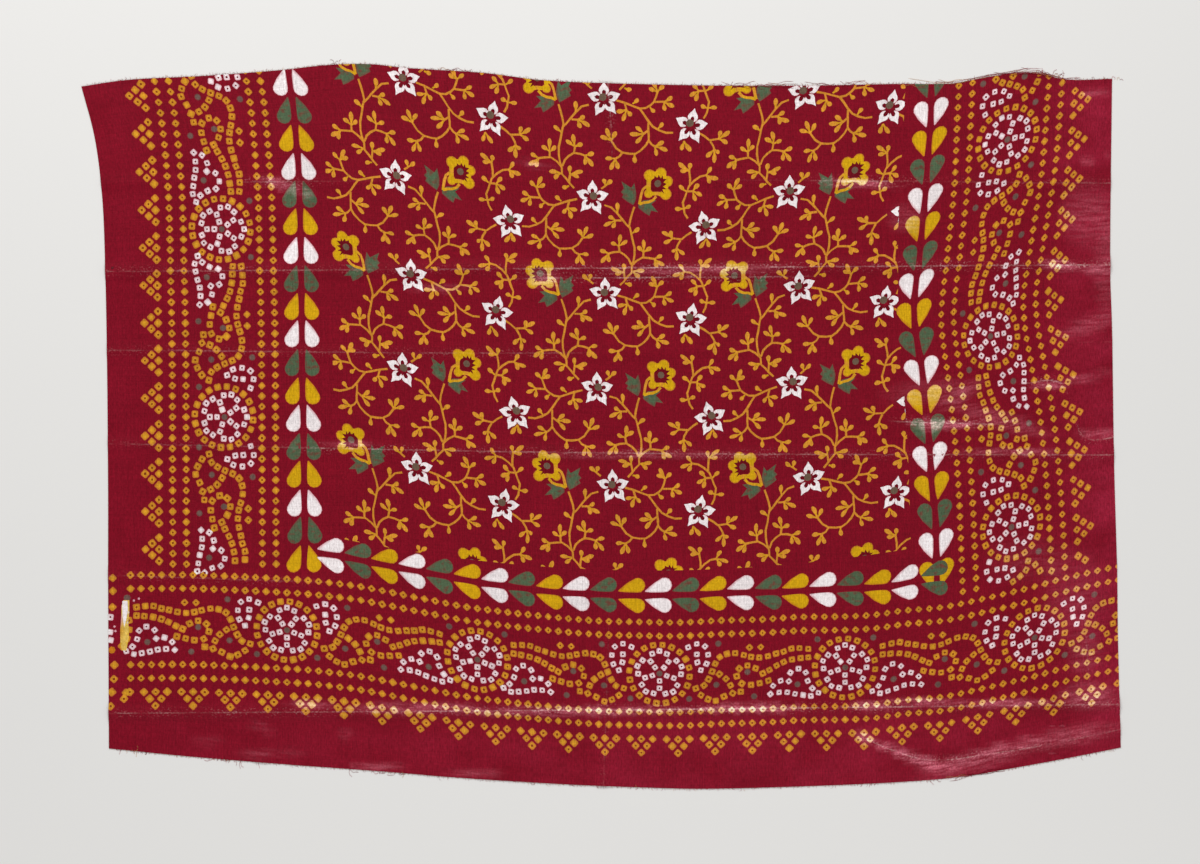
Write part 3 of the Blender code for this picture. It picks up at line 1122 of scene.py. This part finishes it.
def build_cloth():
    """The sheet as one closed mesh, and how many of its faces are its face and its underside."""
    used = sorted({v for face in triangles for v in face})
    number = {v: i for i, v in enumerate(used)}
    face_spots = [(surface_points[v].x, surface_points[v].y) for v in used]
    top_faces = [[number[v] for v in face] for face in triangles]
    loop = border_loop(top_faces)
    places = [(x * MM, y * MM, (rise_at(x, y) + COTTON_THICKNESS) * MM) for x, y in face_spots]

    rim = [Vector(face_spots[v]) for v in loop]
    inner = filling_points(UNDERSIDE_STEP, UNDERSIDE_LINES, [tuple(p) for p in rim], CLEAR_OF_RIM)
    rim_and_inner = rim + [Vector(p) for p in inner]
    under, _, under_faces, from_points, _, _ = delaunay_2d_cdt(
        rim_and_inner, [], [list(range(len(rim)))], INSIDE_OUTLINE, CLOSEST_POINTS
    )
    first = len(places)
    places += [(p.x * MM, p.y * MM, rise_at(p.x, p.y) * MM) for p in under]
    rim_below = {}
    for i, sources in enumerate(from_points):
        for source in sources:
            if source < len(rim):
                rim_below[source] = first + i
    bottom_faces = [[first + v for v in reversed(face)] for face in under_faces]
    rim_faces = []
    for i, v in enumerate(loop):
        j = (i + 1) % len(loop)
        rim_faces.append([loop[j], v, rim_below[i], rim_below[j]])

    mesh = bpy.data.meshes.new("cloth_sheet")
    mesh.from_pydata(places, [], top_faces + bottom_faces + rim_faces)
    return mesh, len(top_faces), len(bottom_faces)


mesh, top_count, bottom_count = build_cloth()
spots = [(v.co.x / MM, v.co.y / MM) for v in mesh.vertices]


def flat_place(x, y):
    """A place on the cloth before it was pulled out of true, in millimetres along its threads."""
    left, right = left_side(y), right_side(y)
    low, high = bottom_edge(x), top_edge(x)
    return (x - left) / (right - left) * LOOM_WIDTH, (y - low) / (high - low) * CUT_LENGTH


# Where the glaze is worn along a crease and a highlight is painted on it: how far a place is from the
# crease's line, and how strongly the crease shows there. Both are read off in squares of the chart.
Shine = namedtuple("Shine", "gap strength")


def along_fold(fold, offset, *strengths):
    """A shine along a fold line, or beside it by an offset upwards in millimetres."""
    strength = smooth(strengths)

    def gap(right, down):
        x, y = on_cloth(right, down)
        return y - fold.height(x) - offset

    return Shine(gap, lambda right, down: strength(right))


def across_the_cloth(line, *strengths):
    """A shine along a line from side to side, as (right, down)."""
    line_down, strength = smooth(line), smooth(strengths)

    def gap(right, down):
        return (line_down(right) - down) * SQUARE

    return Shine(gap, lambda right, down: strength(right))


def up_the_cloth(line, *strengths):
    """A shine along a line from the foot to the top, as (down, right)."""
    line_right, strength = smooth(line), smooth(strengths)

    def gap(right, down):
        return (right - line_right(down)) * SQUARE

    return Shine(gap, lambda right, down: strength(down))


# They are kept on the mesh three to a vector, so their number is a multiple of three.
SHINES = (
    along_fold(
        STRONGEST_FOLD, 0.0, (90, 0.5), (300, 0.35), (520, 0.5), (560, 0.9), (760, 0.9), (860, 0.6),
        (930, 0.9), (1030, 0.8), (1060, 1.3), (1120, 1.0),
    ),
    along_fold(STRONGEST_FOLD, -7.0, (500, 0.0), (550, 0.7), (780, 0.6), (820, 0.0)),
    along_fold(
        HIGHEST_FOLD, 0.0, (90, 0.0), (240, 0.1), (262, 1.0), (300, 0.8), (330, 0.1), (800, 0.1),
        (830, 0.7), (900, 0.8), (930, 0.2), (1120, 0.3),
    ),
    along_fold(FAINT_FOLD, 0.0, (90, 0.25), (540, 0.3), (600, 0.0), (1030, 0.0), (1120, 0.1)),
    along_fold(
        MIDDLE_FOLD, 0.0, (100, 0.2), (300, 0.3), (330, 0.8), (400, 0.6), (450, 0.4), (560, 0.6),
        (850, 0.5), (1020, 0.5), (1120, 0.4),
    ),
    across_the_cloth(
        ((880, 421), (950, 423), (1010, 425)), (890, 0.0), (908, 1.0), (930, 1.5), (970, 0.8),
        (1005, 0.2), (1020, 0.0),
    ),
    along_fold(UNDER_FIELD_FOLD, 0.0, (100, 0.2), (280, 0.25), (340, 0.0), (1120, 0.0)),
    along_fold(
        LOWEST_FOLD, 0.0, (100, 0.3), (140, 0.45), (420, 0.5), (450, 0.9), (800, 0.9), (830, 0.5),
        (850, 1.1), (890, 1.1), (920, 0.5), (1120, 0.6),
    ),
    across_the_cloth(
        ((860, 736), (890, 749), (930, 760), (1000, 752), (1060, 742), (1120, 729)), (850, 0.0),
        (875, 0.5), (915, 0.6), (960, 0.7), (1000, 0.6), (1060, 0.4), (1120, 0.2),
    ),
    up_the_cloth(
        ((60, 606), (150, 612), (600, 609), (800, 603)), (60, 0.5), (130, 0.4), (170, 0.0),
        (600, 0.0), (640, 0.08), (740, 0.12), (800, 0.12),
    ),
    up_the_cloth(((600, 1083), (690, 1090)), (600, 0.0), (620, 0.15), (680, 0.15), (690, 0.0)),
    across_the_cloth(
        ((1020, 384), (1065, 386), (1080, 434), (1120, 437)), (1020, 0.0), (1035, 0.7), (1060, 0.6),
        (1070, 0.0), (1082, 0.6), (1108, 0.7), (1120, 0.2),
    ),
)


# Soft patches of painted sheen, where the glaze catches the light, in squares: the middle right and
# down, the reach each way, how far the patch leans down for each square to the right, and its
# strength.
SHEEN_PATCHES = (
    # the sweep at the lower right, and the fold line above it
    (893, 750, 30, 5, 0.42, 1.0), (924, 762, 34, 8, 0.30, 0.9), (950, 764, 34, 6, -0.2, 0.8),
    (1000, 750, 62, 7, -0.27, 0.7), (975, 762, 70, 14, -0.27, 0.3), (1070, 736, 60, 12, -0.2, 0.4),
    (1088, 696, 36, 16, 0.0, 0.45), (1010, 703, 60, 5, -0.02, 0.6), (925, 702, 50, 5, 0.02, 0.7),
    (750, 708, 66, 5, 0.0, 1.0), (560, 711, 140, 6, 0.0, 0.5), (870, 706, 26, 6, 0.0, 0.7),
    (400, 708, 60, 7, 0.0, 0.5), (310, 704, 30, 6, 0.0, 0.45), (455, 708, 40, 6, 0.06, 0.5),
    (640, 709, 110, 4, 0.0, 0.5), (865, 738, 12, 8, 0.3, 0.5), (1085, 655, 22, 26, 0.0, 0.2),
    # the fold lines, where their painted highlights spread wider
    (275, 183, 20, 7, 0.25, 0.7), (300, 190, 16, 5, 0.2, 0.5), (862, 184, 50, 5, 0.05, 0.6),
    (905, 218, 22, 18, 0.0, 0.2), (1060, 266, 24, 7, 0.1, 0.8), (1097, 270, 22, 6, 0.0, 0.6),
    (944, 424, 46, 5, 0.04, 1.0), (930, 390, 60, 14, -0.1, 0.18), (700, 270, 110, 6, -0.02, 0.45),
    (545, 278, 20, 12, 0.0, 0.5), (440, 288, 40, 4, 0.0, 0.3), (650, 455, 140, 4, 0.0, 0.3),
    (350, 444, 34, 4, 0.0, 0.45), (535, 165, 26, 5, 0.1, 0.25),
    # the right margin
    (1088, 215, 34, 40, 0.0, 0.22), (1090, 325, 40, 12, -0.3, 0.3), (1106, 262, 16, 70, 0.0, 0.22),
    (1095, 94, 20, 5, 0.0, 0.3), (1048, 386, 24, 4, 0.0, 0.6), (1098, 434, 24, 4, 0.0, 0.6),
    (1104, 478, 20, 3, 0.0, 0.4), (1090, 160, 26, 3, -0.3, 0.35), (1000, 420, 60, 12, 0.3, 0.35),
    (1010, 452, 60, 4, 0.0, 0.5), (958, 396, 30, 12, -0.5, 0.35), (1085, 378, 36, 5, -0.2, 0.35),
    (1075, 600, 40, 60, 0.0, 0.12), (1030, 560, 50, 30, 0.0, 0.10),
    # the foot
    (262, 727, 16, 7, 0.3, 0.18), (208, 740, 20, 6, 0.0, 0.08), (345, 735, 12, 6, 0.0, 0.16),
    (290, 752, 24, 7, 0.0, 0.08), (380, 768, 46, 4, 0.06, 0.4), (470, 772, 40, 5, 0.04, 0.3),
    (250, 752, 60, 3, 0.1, 0.2),
)


def sheen_at(x, y):
    """How strong the painted sheen is at a place, from 0 to 1."""
    right, down = on_page(x, y)
    dull = 1.0
    for middle_right, middle_down, half_right, half_down, lean, strength in SHEEN_PATCHES:
        aside = (right - middle_right) / half_right
        if abs(aside) < 1.0:
            above = (down - middle_down - lean * (right - middle_right)) / half_down
            reach = aside * aside + above * above
            if reach < 1.0:
                dull *= 1.0 - strength * (1.0 - reach) ** 1.5
    return 1.0 - dull


def glaze_and_sheen_at(x, y):
    """The unprinted margins have kept more of their pale glaze, with a painted sheen on it, the right
    hand one most.
    """
    right, down = on_page(x, y)
    left_margin = 0.12 * climb(right, 150.0, 120.0)
    right_margin = climb(right, 1030.0, 1100.0)
    foot_margin = 0.6 * climb(down, 690.0, 740.0) * (0.3 + right / 1200.0)
    return max(left_margin, right_margin, foot_margin)


BACK_RED = dye(132, 34, 48)
# The pale colour along the creases: glaze rubbed off, with a painted highlight on the crest.
CREST_WEAR_AND_GLINT = dye(232, 196, 192)
# The tint of the margins' pale glaze and painted sheen.
GLAZE_AND_SHEEN_TINT = (0.27, 0.025, 0.062)
# The colours of the painted sheen on the red ground and on the ink.
GROUND_SHINE, INK_SHINE = (0.58, 0.20, 0.26), (0.72, 0.68, 0.56)

# The page that colours are baked on, and its bands: where each starts up the page, and its height.
PAGE_WIDTH, PAGE_HEIGHT, PAGE_SHARE = 770.0, 540.0, 0.99
FACE_BAND, UNDERSIDE_BAND, RIM_BAND = (0.14, 0.855), (0.005, 0.11), (0.12, 0.01)


def paint_corners():
    """Each corner's ink: that of its mark on the face, and a plain red everywhere else."""
    values = []
    for triangle_colours in colours:
        for colour in triangle_colours:
            values += [*colour, 1.0]
    values += [*BACK_RED, 1.0] * (len(mesh.loops) - len(values) // 4)
    ink = mesh.color_attributes.new("ink", "FLOAT_COLOR", "CORNER")
    ink.data.foreach_set("color", values)


def set_at_points(name, kind, field, values):
    mesh.attributes.new(name, kind, "POINT").data.foreach_set(field, values)


def measure_glaze_and_sheen():
    """At each point, the margins' pale glaze and painted sheen, the painted sheen of the patches, and
    how far off the creases are.
    """
    set_at_points("bloom", "FLOAT", "value", [glaze_and_sheen_at(x, y) for x, y in spots])
    set_at_points("sheen", "FLOAT", "value", [sheen_at(x, y) for x, y in spots])
    page_spots = [on_page(x, y) for x, y in spots]
    for i in range(0, len(SHINES), 3):
        gaps, strengths = [], []
        for right, down in page_spots:
            for shine in SHINES[i:i + 3]:
                gaps.append(shine.gap(right, down))
                strengths.append(max(shine.strength(right, down), 0.0))
        set_at_points(f"gaps_{i // 3}", "FLOAT_VECTOR", "vector", gaps)
        set_at_points(f"shines_{i // 3}", "FLOAT_VECTOR", "vector", strengths)


def lay_out_pages():
    """The weave's page, in millimetres along the threads, and the page that colours are baked on."""
    weave = mesh.uv_layers.new(name="weave")
    bake = mesh.uv_layers.new(name="OFBake")
    bands = [FACE_BAND] * top_count + [UNDERSIDE_BAND] * bottom_count
    bands += [RIM_BAND] * (len(mesh.polygons) - len(bands))
    weave_values, bake_values = [], []
    flat_spots = [flat_place(x, y) for x, y in spots]
    for face, (band_start, band_height) in zip(mesh.polygons, bands):
        for v in face.vertices:
            x, y = spots[v]
            share_up = 0.5 + y / PAGE_HEIGHT * PAGE_SHARE
            weave_values += flat_spots[v]
            bake_values += [0.5 + x / PAGE_WIDTH * PAGE_SHARE, band_start + band_height * share_up]
    weave.data.foreach_set("uv", weave_values)
    bake.data.foreach_set("uv", bake_values)


def set_normals():
    """Smooth by the cloth's own slope on both sides, and flat around the rim."""
    normals = [face_normal_at(x, y) for x, y in spots]
    corner_normals = []
    for i, face in enumerate(mesh.polygons):
        for v in face.vertices:
            if i < top_count:
                corner_normals.append(normals[v])
            elif i < top_count + bottom_count:
                corner_normals.append(-normals[v])
            else:
                corner_normals.append(face.normal.copy())
    mesh.shade_smooth()
    mesh.normals_split_custom_set(corner_normals)


def printed_cotton():
    cotton = Surface("printed_cotton", {"Metallic": 0.0, "Specular IOR Level": 0.05})
    reckon, times, ranged, mixed = cotton.reckon, cotton.times, cotton.ranged, cotton.mixed
    threads = cotton.add("ShaderNodeUVMap", {}, "UV", uv_map="weave")

    def streaks(across, up, detail):
        """Noise along the threads, by its size across and up the cloth in millimetres."""
        stretch = {"Vector": threads, "Scale": (1.0 / across, 1.0 / up, 1.0)}
        place = cotton.add("ShaderNodeMapping", stretch, "Vector")
        pattern = {"Vector": place, "Scale": 1.0, "Detail": detail, "Roughness": 0.55}
        return cotton.add("ShaderNodeTexNoise", pattern, "Fac")

    def thread_waves(direction):
        pattern = {"Vector": threads, "Scale": 0.75, "Distortion": 0.4}
        return cotton.add("ShaderNodeTexWave", pattern, "Fac", bands_direction=direction)

    def shine_within(width):
        """How much shine there is within a distance of the creases, all of them together."""
        total = 0.0
        for i in range(len(SHINES) // 3):
            near = cotton.vectors("ABSOLUTE", cotton.attribute(f"gaps_{i}", "Vector"))
            near = cotton.vectors("MULTIPLY", near, -1.0 / width)
            near = cotton.vectors("ADD", near, 1.0)
            near = cotton.vectors("MAXIMUM", near, 0.0)
            strengths = cotton.attribute(f"shines_{i}", "Vector")
            total = reckon("ADD", cotton.vectors("DOT_PRODUCT", near, strengths), total)
        return total

    weft, warp = streaks(38.0, 0.9, 2.0), streaks(0.9, 38.0, 2.0)
    patches, wisps = streaks(45.0, 30.0, 4.0), streaks(16.0, 2.6, 4.0)
    yarns, breaks = streaks(0.9, 4.0, 2.0), streaks(16.0, 5.0, 3.0)
    speckle = streaks(1.6, 1.4, 3.0)

    # The painted sheen is stronger and whiter on the ink, which is chalkier than the dyed ground.
    ink = cotton.attribute("ink", "Color")
    ink_red = cotton.add("ShaderNodeSeparateColor", {"Color": ink}, "Red")
    ink_green = cotton.add("ShaderNodeSeparateColor", {"Color": ink}, "Green")
    ink_sheen_share = ranged(ink_green, 0.02, 0.2, 0.0, 1.0)

    # The green lies thin, and lets the red through in places.
    greenness = ranged(reckon("SUBTRACT", ink_green, ink_red), 0.0, 0.03, 0.0, 1.0)
    thin = times(greenness, ranged(streaks(5.0, 4.0, 3.0), 0.50, 0.66, 0.0, 0.55), clamp=True)

    # The yarns took the dye unevenly, both ways of the weave.
    grain = times(ranged(weft, 0.3, 0.7, 0.92, 1.08), ranged(warp, 0.3, 0.7, 0.89, 1.11))
    grain = times(grain, ranged(patches, 0.3, 0.7, 0.94, 1.06))
    grain = times(grain, ranged(yarns, 0.3, 0.7, 0.84, 1.16))
    grain = times(grain, ranged(speckle, 0.3, 0.7, 0.88, 1.12))
    toned = mixed(1.0, mixed(thin, ink, MADDER_RED), grain, "MULTIPLY")

    # The pale glaze kept by the margins, with painted sheen on it.
    margin_glaze_and_sheen = times(cotton.attribute("bloom", "Fac"), ranged(patches, 0.35, 0.65, 0.06, 0.34))
    margin_glaze_and_sheen = times(margin_glaze_and_sheen, ranged(yarns, 0.3, 0.7, 0.5, 1.5), clamp=True)
    toned = mixed(margin_glaze_and_sheen, toned, GLAZE_AND_SHEEN_TINT, "ADD")

    # The creases are rubbed pale along their crests, with a painted highlight there too, and painted
    # glitter beside them.
    crest = times(shine_within(0.8), ranged(speckle, 0.38, 0.62, 0.1, 0.7))
    glitter = times(shine_within(5.0), ranged(speckle, 0.56, 0.68, 0.0, 0.6))
    broken = ranged(breaks, 0.40, 0.58, 0.15, 1.0)
    wear_and_glints = times(reckon("MAXIMUM", crest, glitter), broken, clamp=True)
    toned = mixed(wear_and_glints, toned, CREST_WEAR_AND_GLINT)

    # Painted sheen on the patches that catch the light.
    painted_sheen = times(cotton.attribute("sheen", "Fac"), ranged(wisps, 0.36, 0.62, 0.15, 1.0))
    painted_sheen = times(painted_sheen, ranged(speckle, 0.35, 0.65, 0.5, 1.2))
    painted_sheen = times(painted_sheen, ranged(ink_sheen_share, 0.0, 1.0, 1.0, 2.0), clamp=True)
    toned = mixed(painted_sheen, toned, mixed(ink_sheen_share, GROUND_SHINE, INK_SHINE), "ADD")

    height = times(thread_waves("X"), thread_waves("Y"))
    for relief, share in ((weft, 1.6), (warp, 1.2), (patches, 6.0)):
        height = reckon("ADD", height, times(relief, share))
    relief_size = {"Strength": 0.35, "Distance": 0.0002}
    bump = cotton.add("ShaderNodeBump", {**relief_size, "Height": height}, "Normal")

    roughness = ranged(speckle, 0.3, 0.7, 0.42, 0.62)
    for socket, value in (("Base Color", toned), ("Roughness", roughness), ("Normal", bump)):
        cotton.feed(cotton.shader.inputs[socket], value)
    return cotton.material


paint_corners()
measure_glaze_and_sheen()
lay_out_pages()
set_normals()
cloth = add_object("printed_cloth", mesh)
cloth.data.materials.append(printed_cotton())
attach(cloth, "root")
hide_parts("cloth")


# The frayed ends
# The cut edges have no hem, so short ends of cotton stick out all along them, and longer threads
# have come away at a few places and lie along the edge or curl back over the cloth.

FUZZ_SPACING = 1.1
THREAD_RADIUS = 0.10
THREAD_SIDES = 3
THREAD_STEPS = 14
THREAD_CELLS = 40  # cells across the page that the threads' colours are baked on
FUZZ_LEAN = 28.0  # how far the short ends lean aside, in degrees
FUZZ_STEPS = 3
FUZZ_ROOT, THREAD_ROOT = 0.5, 0.8  # how far inside the edge they start

Thread = namedtuple("Thread", "path radius colour")

# An edge, and which way is off the cloth there.
Edge = namedtuple("Edge", "line outwards")
TOP, FOOT = Edge(top_edge, 1.0), Edge(bottom_edge, -1.0)

# Loose threads, in squares: where they are, over what width, how many, how long, at which edge, and
# whether they lie along it or hang from it.
LOOSE_THREADS = (
    (333, 26, 8, 8, TOP, False), (455, 24, 5, 10, TOP, True), (762, 60, 14, 22, TOP, True),
    (762, 60, 8, 6, TOP, False), (860, 90, 10, 16, TOP, True), (975, 60, 14, 44, TOP, True),
    (1040, 40, 14, 28, TOP, True), (1048, 26, 16, 9, TOP, False), (1112, 16, 4, 7, TOP, False),
    (130, 40, 6, 9, FOOT, False), (240, 60, 9, 10, FOOT, False), (370, 70, 9, 9, FOOT, False),
    (560, 200, 8, 6, FOOT, False), (985, 40, 8, 36, FOOT, True), (900, 90, 5, 8, FOOT, False),
)

# Mostly the dyed red, faded where it is bent, and here and there an end that took ink.
THREAD_COLOURS = (
    dye(150, 26, 44), dye(138, 20, 38), dye(162, 44, 58), dye(122, 16, 32), dye(176, 84, 88),
    dye(196, 146, 90),
)

fray = random.Random(7)


def resting_height(x, y):
    """The height of the surface that a thread lies on: the cloth, or the table beside it."""
    return rise_at(x, y) + COTTON_THICKNESS if within(x, y, 0.0) else 0.0


def fuzz_along(edge, start, end):
    """The short ends of cotton along a cut edge."""
    x = start
    while x < end:
        x += FUZZ_SPACING * fray.uniform(0.4, 1.6)
        heading = edge.outwards * math.radians(fray.gauss(90.0, FUZZ_LEAN))
        length = 1.0 + abs(fray.gauss(0.0, 1.0))
        root = edge.line(x) - edge.outwards * FUZZ_ROOT
        low = rise_at(x, root) + 0.25
        path = []
        for step in range(FUZZ_STEPS + 1):
            share = step / FUZZ_STEPS
            bend = heading + fray.uniform(-0.5, 0.5) * share
            reach = length * share
            height = low + (THREAD_RADIUS + 0.15 - low) * share * share * 0.6
            path.append((x + math.cos(bend) * reach, root + math.sin(bend) * reach, height))
        yield Thread(path, THREAD_RADIUS * fray.uniform(0.7, 1.0), fray.choice(THREAD_COLOURS))


def thread_along(edge, x, length):
    """A thread that has slipped off the edge and lies beside it."""
    way = fray.choice((-1.0, 1.0))
    gap, drift, sway = fray.uniform(-1.2, 1.8), fray.uniform(-1.5, 3.0), fray.uniform(0.2, 0.9)
    turns, begin = fray.uniform(4.0, 11.0), fray.uniform(0.0, 6.0)
    for step in range(THREAD_STEPS + 1):
        share = step / THREAD_STEPS
        here = x + way * length * share
        beside = gap + drift * share**2 + sway * math.sin(turns * share + begin)
        yield here, edge.line(here) + edge.outwards * beside


def thread_off(edge, x, length):
    """A thread that hangs from the edge and curls."""
    y = edge.line(x) - edge.outwards * THREAD_ROOT
    heading = edge.outwards * math.radians(fray.uniform(25.0, 155.0))
    curl = fray.uniform(-0.35, 0.35)
    for step in range(THREAD_STEPS + 1):
        yield x, y
        x += math.cos(heading) * length / THREAD_STEPS
        y += math.sin(heading) * length / THREAD_STEPS
        heading += curl + fray.uniform(-0.3, 0.3)


def loose_threads(middle, width, count, mean_length, edge, along):
    lay = thread_along if along else thread_off
    for _ in range(count):
        right = middle + fray.uniform(-0.5, 0.5) * width
        length = mean_length * SQUARE * fray.uniform(0.5, 1.3)
        path = []
        for x, y in lay(edge, (right - MIDDLE_RIGHT) * SQUARE, length):
            lift = 0.2 * math.sin(math.pi * len(path) / THREAD_STEPS)
            path.append((x, y, resting_height(x, y) + THREAD_RADIUS + 0.05 + lift))
        yield Thread(path, THREAD_RADIUS, fray.choice(THREAD_COLOURS))


def tube_points(strand):
    """The rings of a tube around a thread, narrower at its end."""
    last = len(strand.path) - 1
    for i, point in enumerate(strand.path):
        ahead = Vector(strand.path[min(i + 1, last)]) - Vector(strand.path[max(i - 1, 0)])
        side = ahead.cross(Vector((0.0, 0.0, 1.0))).normalized()
        up = side.cross(ahead.normalized())
        reach = strand.radius * (0.35 if i == last else 1.0)
        for k in range(THREAD_SIDES):
            turn = 2 * math.pi * k / THREAD_SIDES + math.pi / 2
            place = Vector(point) + reach * (math.cos(turn) * side + math.sin(turn) * up)
            yield place * MM


def tube_faces(first, last):
    """A tube's faces: the points of each, and where they lie as (step along, side around)."""
    for i in range(last):
        for k in range(THREAD_SIDES):
            a = first + i * THREAD_SIDES + k
            b = first + i * THREAD_SIDES + (k + 1) % THREAD_SIDES
            corners = (i, k), (i, k + 1), (i + 1, k + 1), (i + 1, k)
            yield (a, b, b + THREAD_SIDES, a + THREAD_SIDES), corners
    end = first + last * THREAD_SIDES
    yield tuple(range(first + THREAD_SIDES - 1, first - 1, -1)), ((0, 3.3), (1, 3.3), (1, 4))
    yield tuple(range(end, end + THREAD_SIDES)), ((1.5, 3.3), (2.5, 3.3), (2.5, 4))


def build_threads(strands):
    """The threads as one mesh of thin tubes, each with its own cell of the page."""
    places, faces, ink_values, page_values = [], [], [], []
    for number, strand in enumerate(strands):
        first, last = len(places), len(strand.path) - 1
        column, row = number % THREAD_CELLS, number // THREAD_CELLS
        places += tube_points(strand)
        for face, corners in tube_faces(first, last):
            faces.append(face)
            for step, side in corners:
                ink_values += [*strand.colour, 1.0]
                page_values += [
                    (column + 0.1 + 0.8 * step / last) / THREAD_CELLS,
                    (row + 0.1 + 0.8 * side / (THREAD_SIDES + 1)) / THREAD_CELLS,
                ]
    mesh = bpy.data.meshes.new("frayed_ends")
    mesh.from_pydata(places, [], faces)
    ink = mesh.color_attributes.new("ink", "FLOAT_COLOR", "CORNER")
    page = mesh.uv_layers.new(name="OFBake")
    ink.data.foreach_set("color", ink_values)
    page.data.foreach_set("uv", page_values)
    return mesh


strands = list(fuzz_along(TOP, -378.0, 371.0))
strands += fuzz_along(FOOT, -358.0, 378.0)
for group in LOOSE_THREADS:
    strands += loose_threads(*group)

threads = add_object("frayed_ends", build_threads(strands))
loose_cotton = Surface("loose_cotton", {"Roughness": 0.8, "Specular IOR Level": 0.1})
loose_cotton.feed(loose_cotton.shader.inputs["Base Color"], loose_cotton.attribute("ink", "Color"))
threads.data.materials.append(loose_cotton.material)
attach(threads, "root")


# The studio
# The cloth lies on a plain pale floor under two large soft lights, and is seen from straight
# above through a long lens.

VIEW_WIDTH = 1200 * SQUARE * MM
VIEW_RIGHT, VIEW_DOWN = 600.0, 432.0  # the middle of the view, in squares
LENS, SENSOR = 85.0, 36.0
FLOOR_HALF = 8.0  # metres

floor_mesh = bpy.data.meshes.new("floor")
floor_corners = [(x * FLOOR_HALF, y * FLOOR_HALF, 0) for x, y in ((-1, -1), (1, -1), (1, 1), (-1, 1))]
floor_mesh.from_pydata(floor_corners, [], [[0, 1, 2, 3]])
floor = add_object("floor", floor_mesh)
paper = Surface("pale_paper", {"Base Color": (0.80, 0.79, 0.77), "Roughness": 0.9})
floor.data.materials.append(paper.material)

camera_data = bpy.data.cameras.new("camera")
camera_data.lens = LENS
camera_data.sensor_width = SENSOR
camera = add_object("camera", camera_data)
camera.location = (
    (VIEW_RIGHT - MIDDLE_RIGHT) * SQUARE * MM,
    (MIDDLE_DOWN - VIEW_DOWN) * SQUARE * MM,
    VIEW_WIDTH * LENS / SENSOR,
)
bpy.context.scene.camera = camera


def soft_light(name, place, size, power):
    light_data = bpy.data.lights.new(name, "AREA")
    light_data.shape = "RECTANGLE"
    light_data.size, light_data.size_y = size
    light_data.energy = power
    light = add_object(name, light_data)
    light.location = place
    light.rotation_euler = (-Vector(place)).to_track_quat("-Z", "Y").to_euler()


soft_light("far_light", (-0.3, 1.5, 1.3), (1.6, 0.6), 27.0)
soft_light("near_light", (0.3, -1.7, 1.6), (1.8, 0.9), 20.0)

world = bpy.data.worlds.new("studio")
world.use_nodes = True
sky = world.node_tree.nodes["Background"]
sky.inputs["Color"].default_value = (1.0, 1.0, 1.0, 1.0)
sky.inputs["Strength"].default_value = 0.35
bpy.context.scene.world = world
bpy.context.scene.view_settings.view_transform = "Standard"
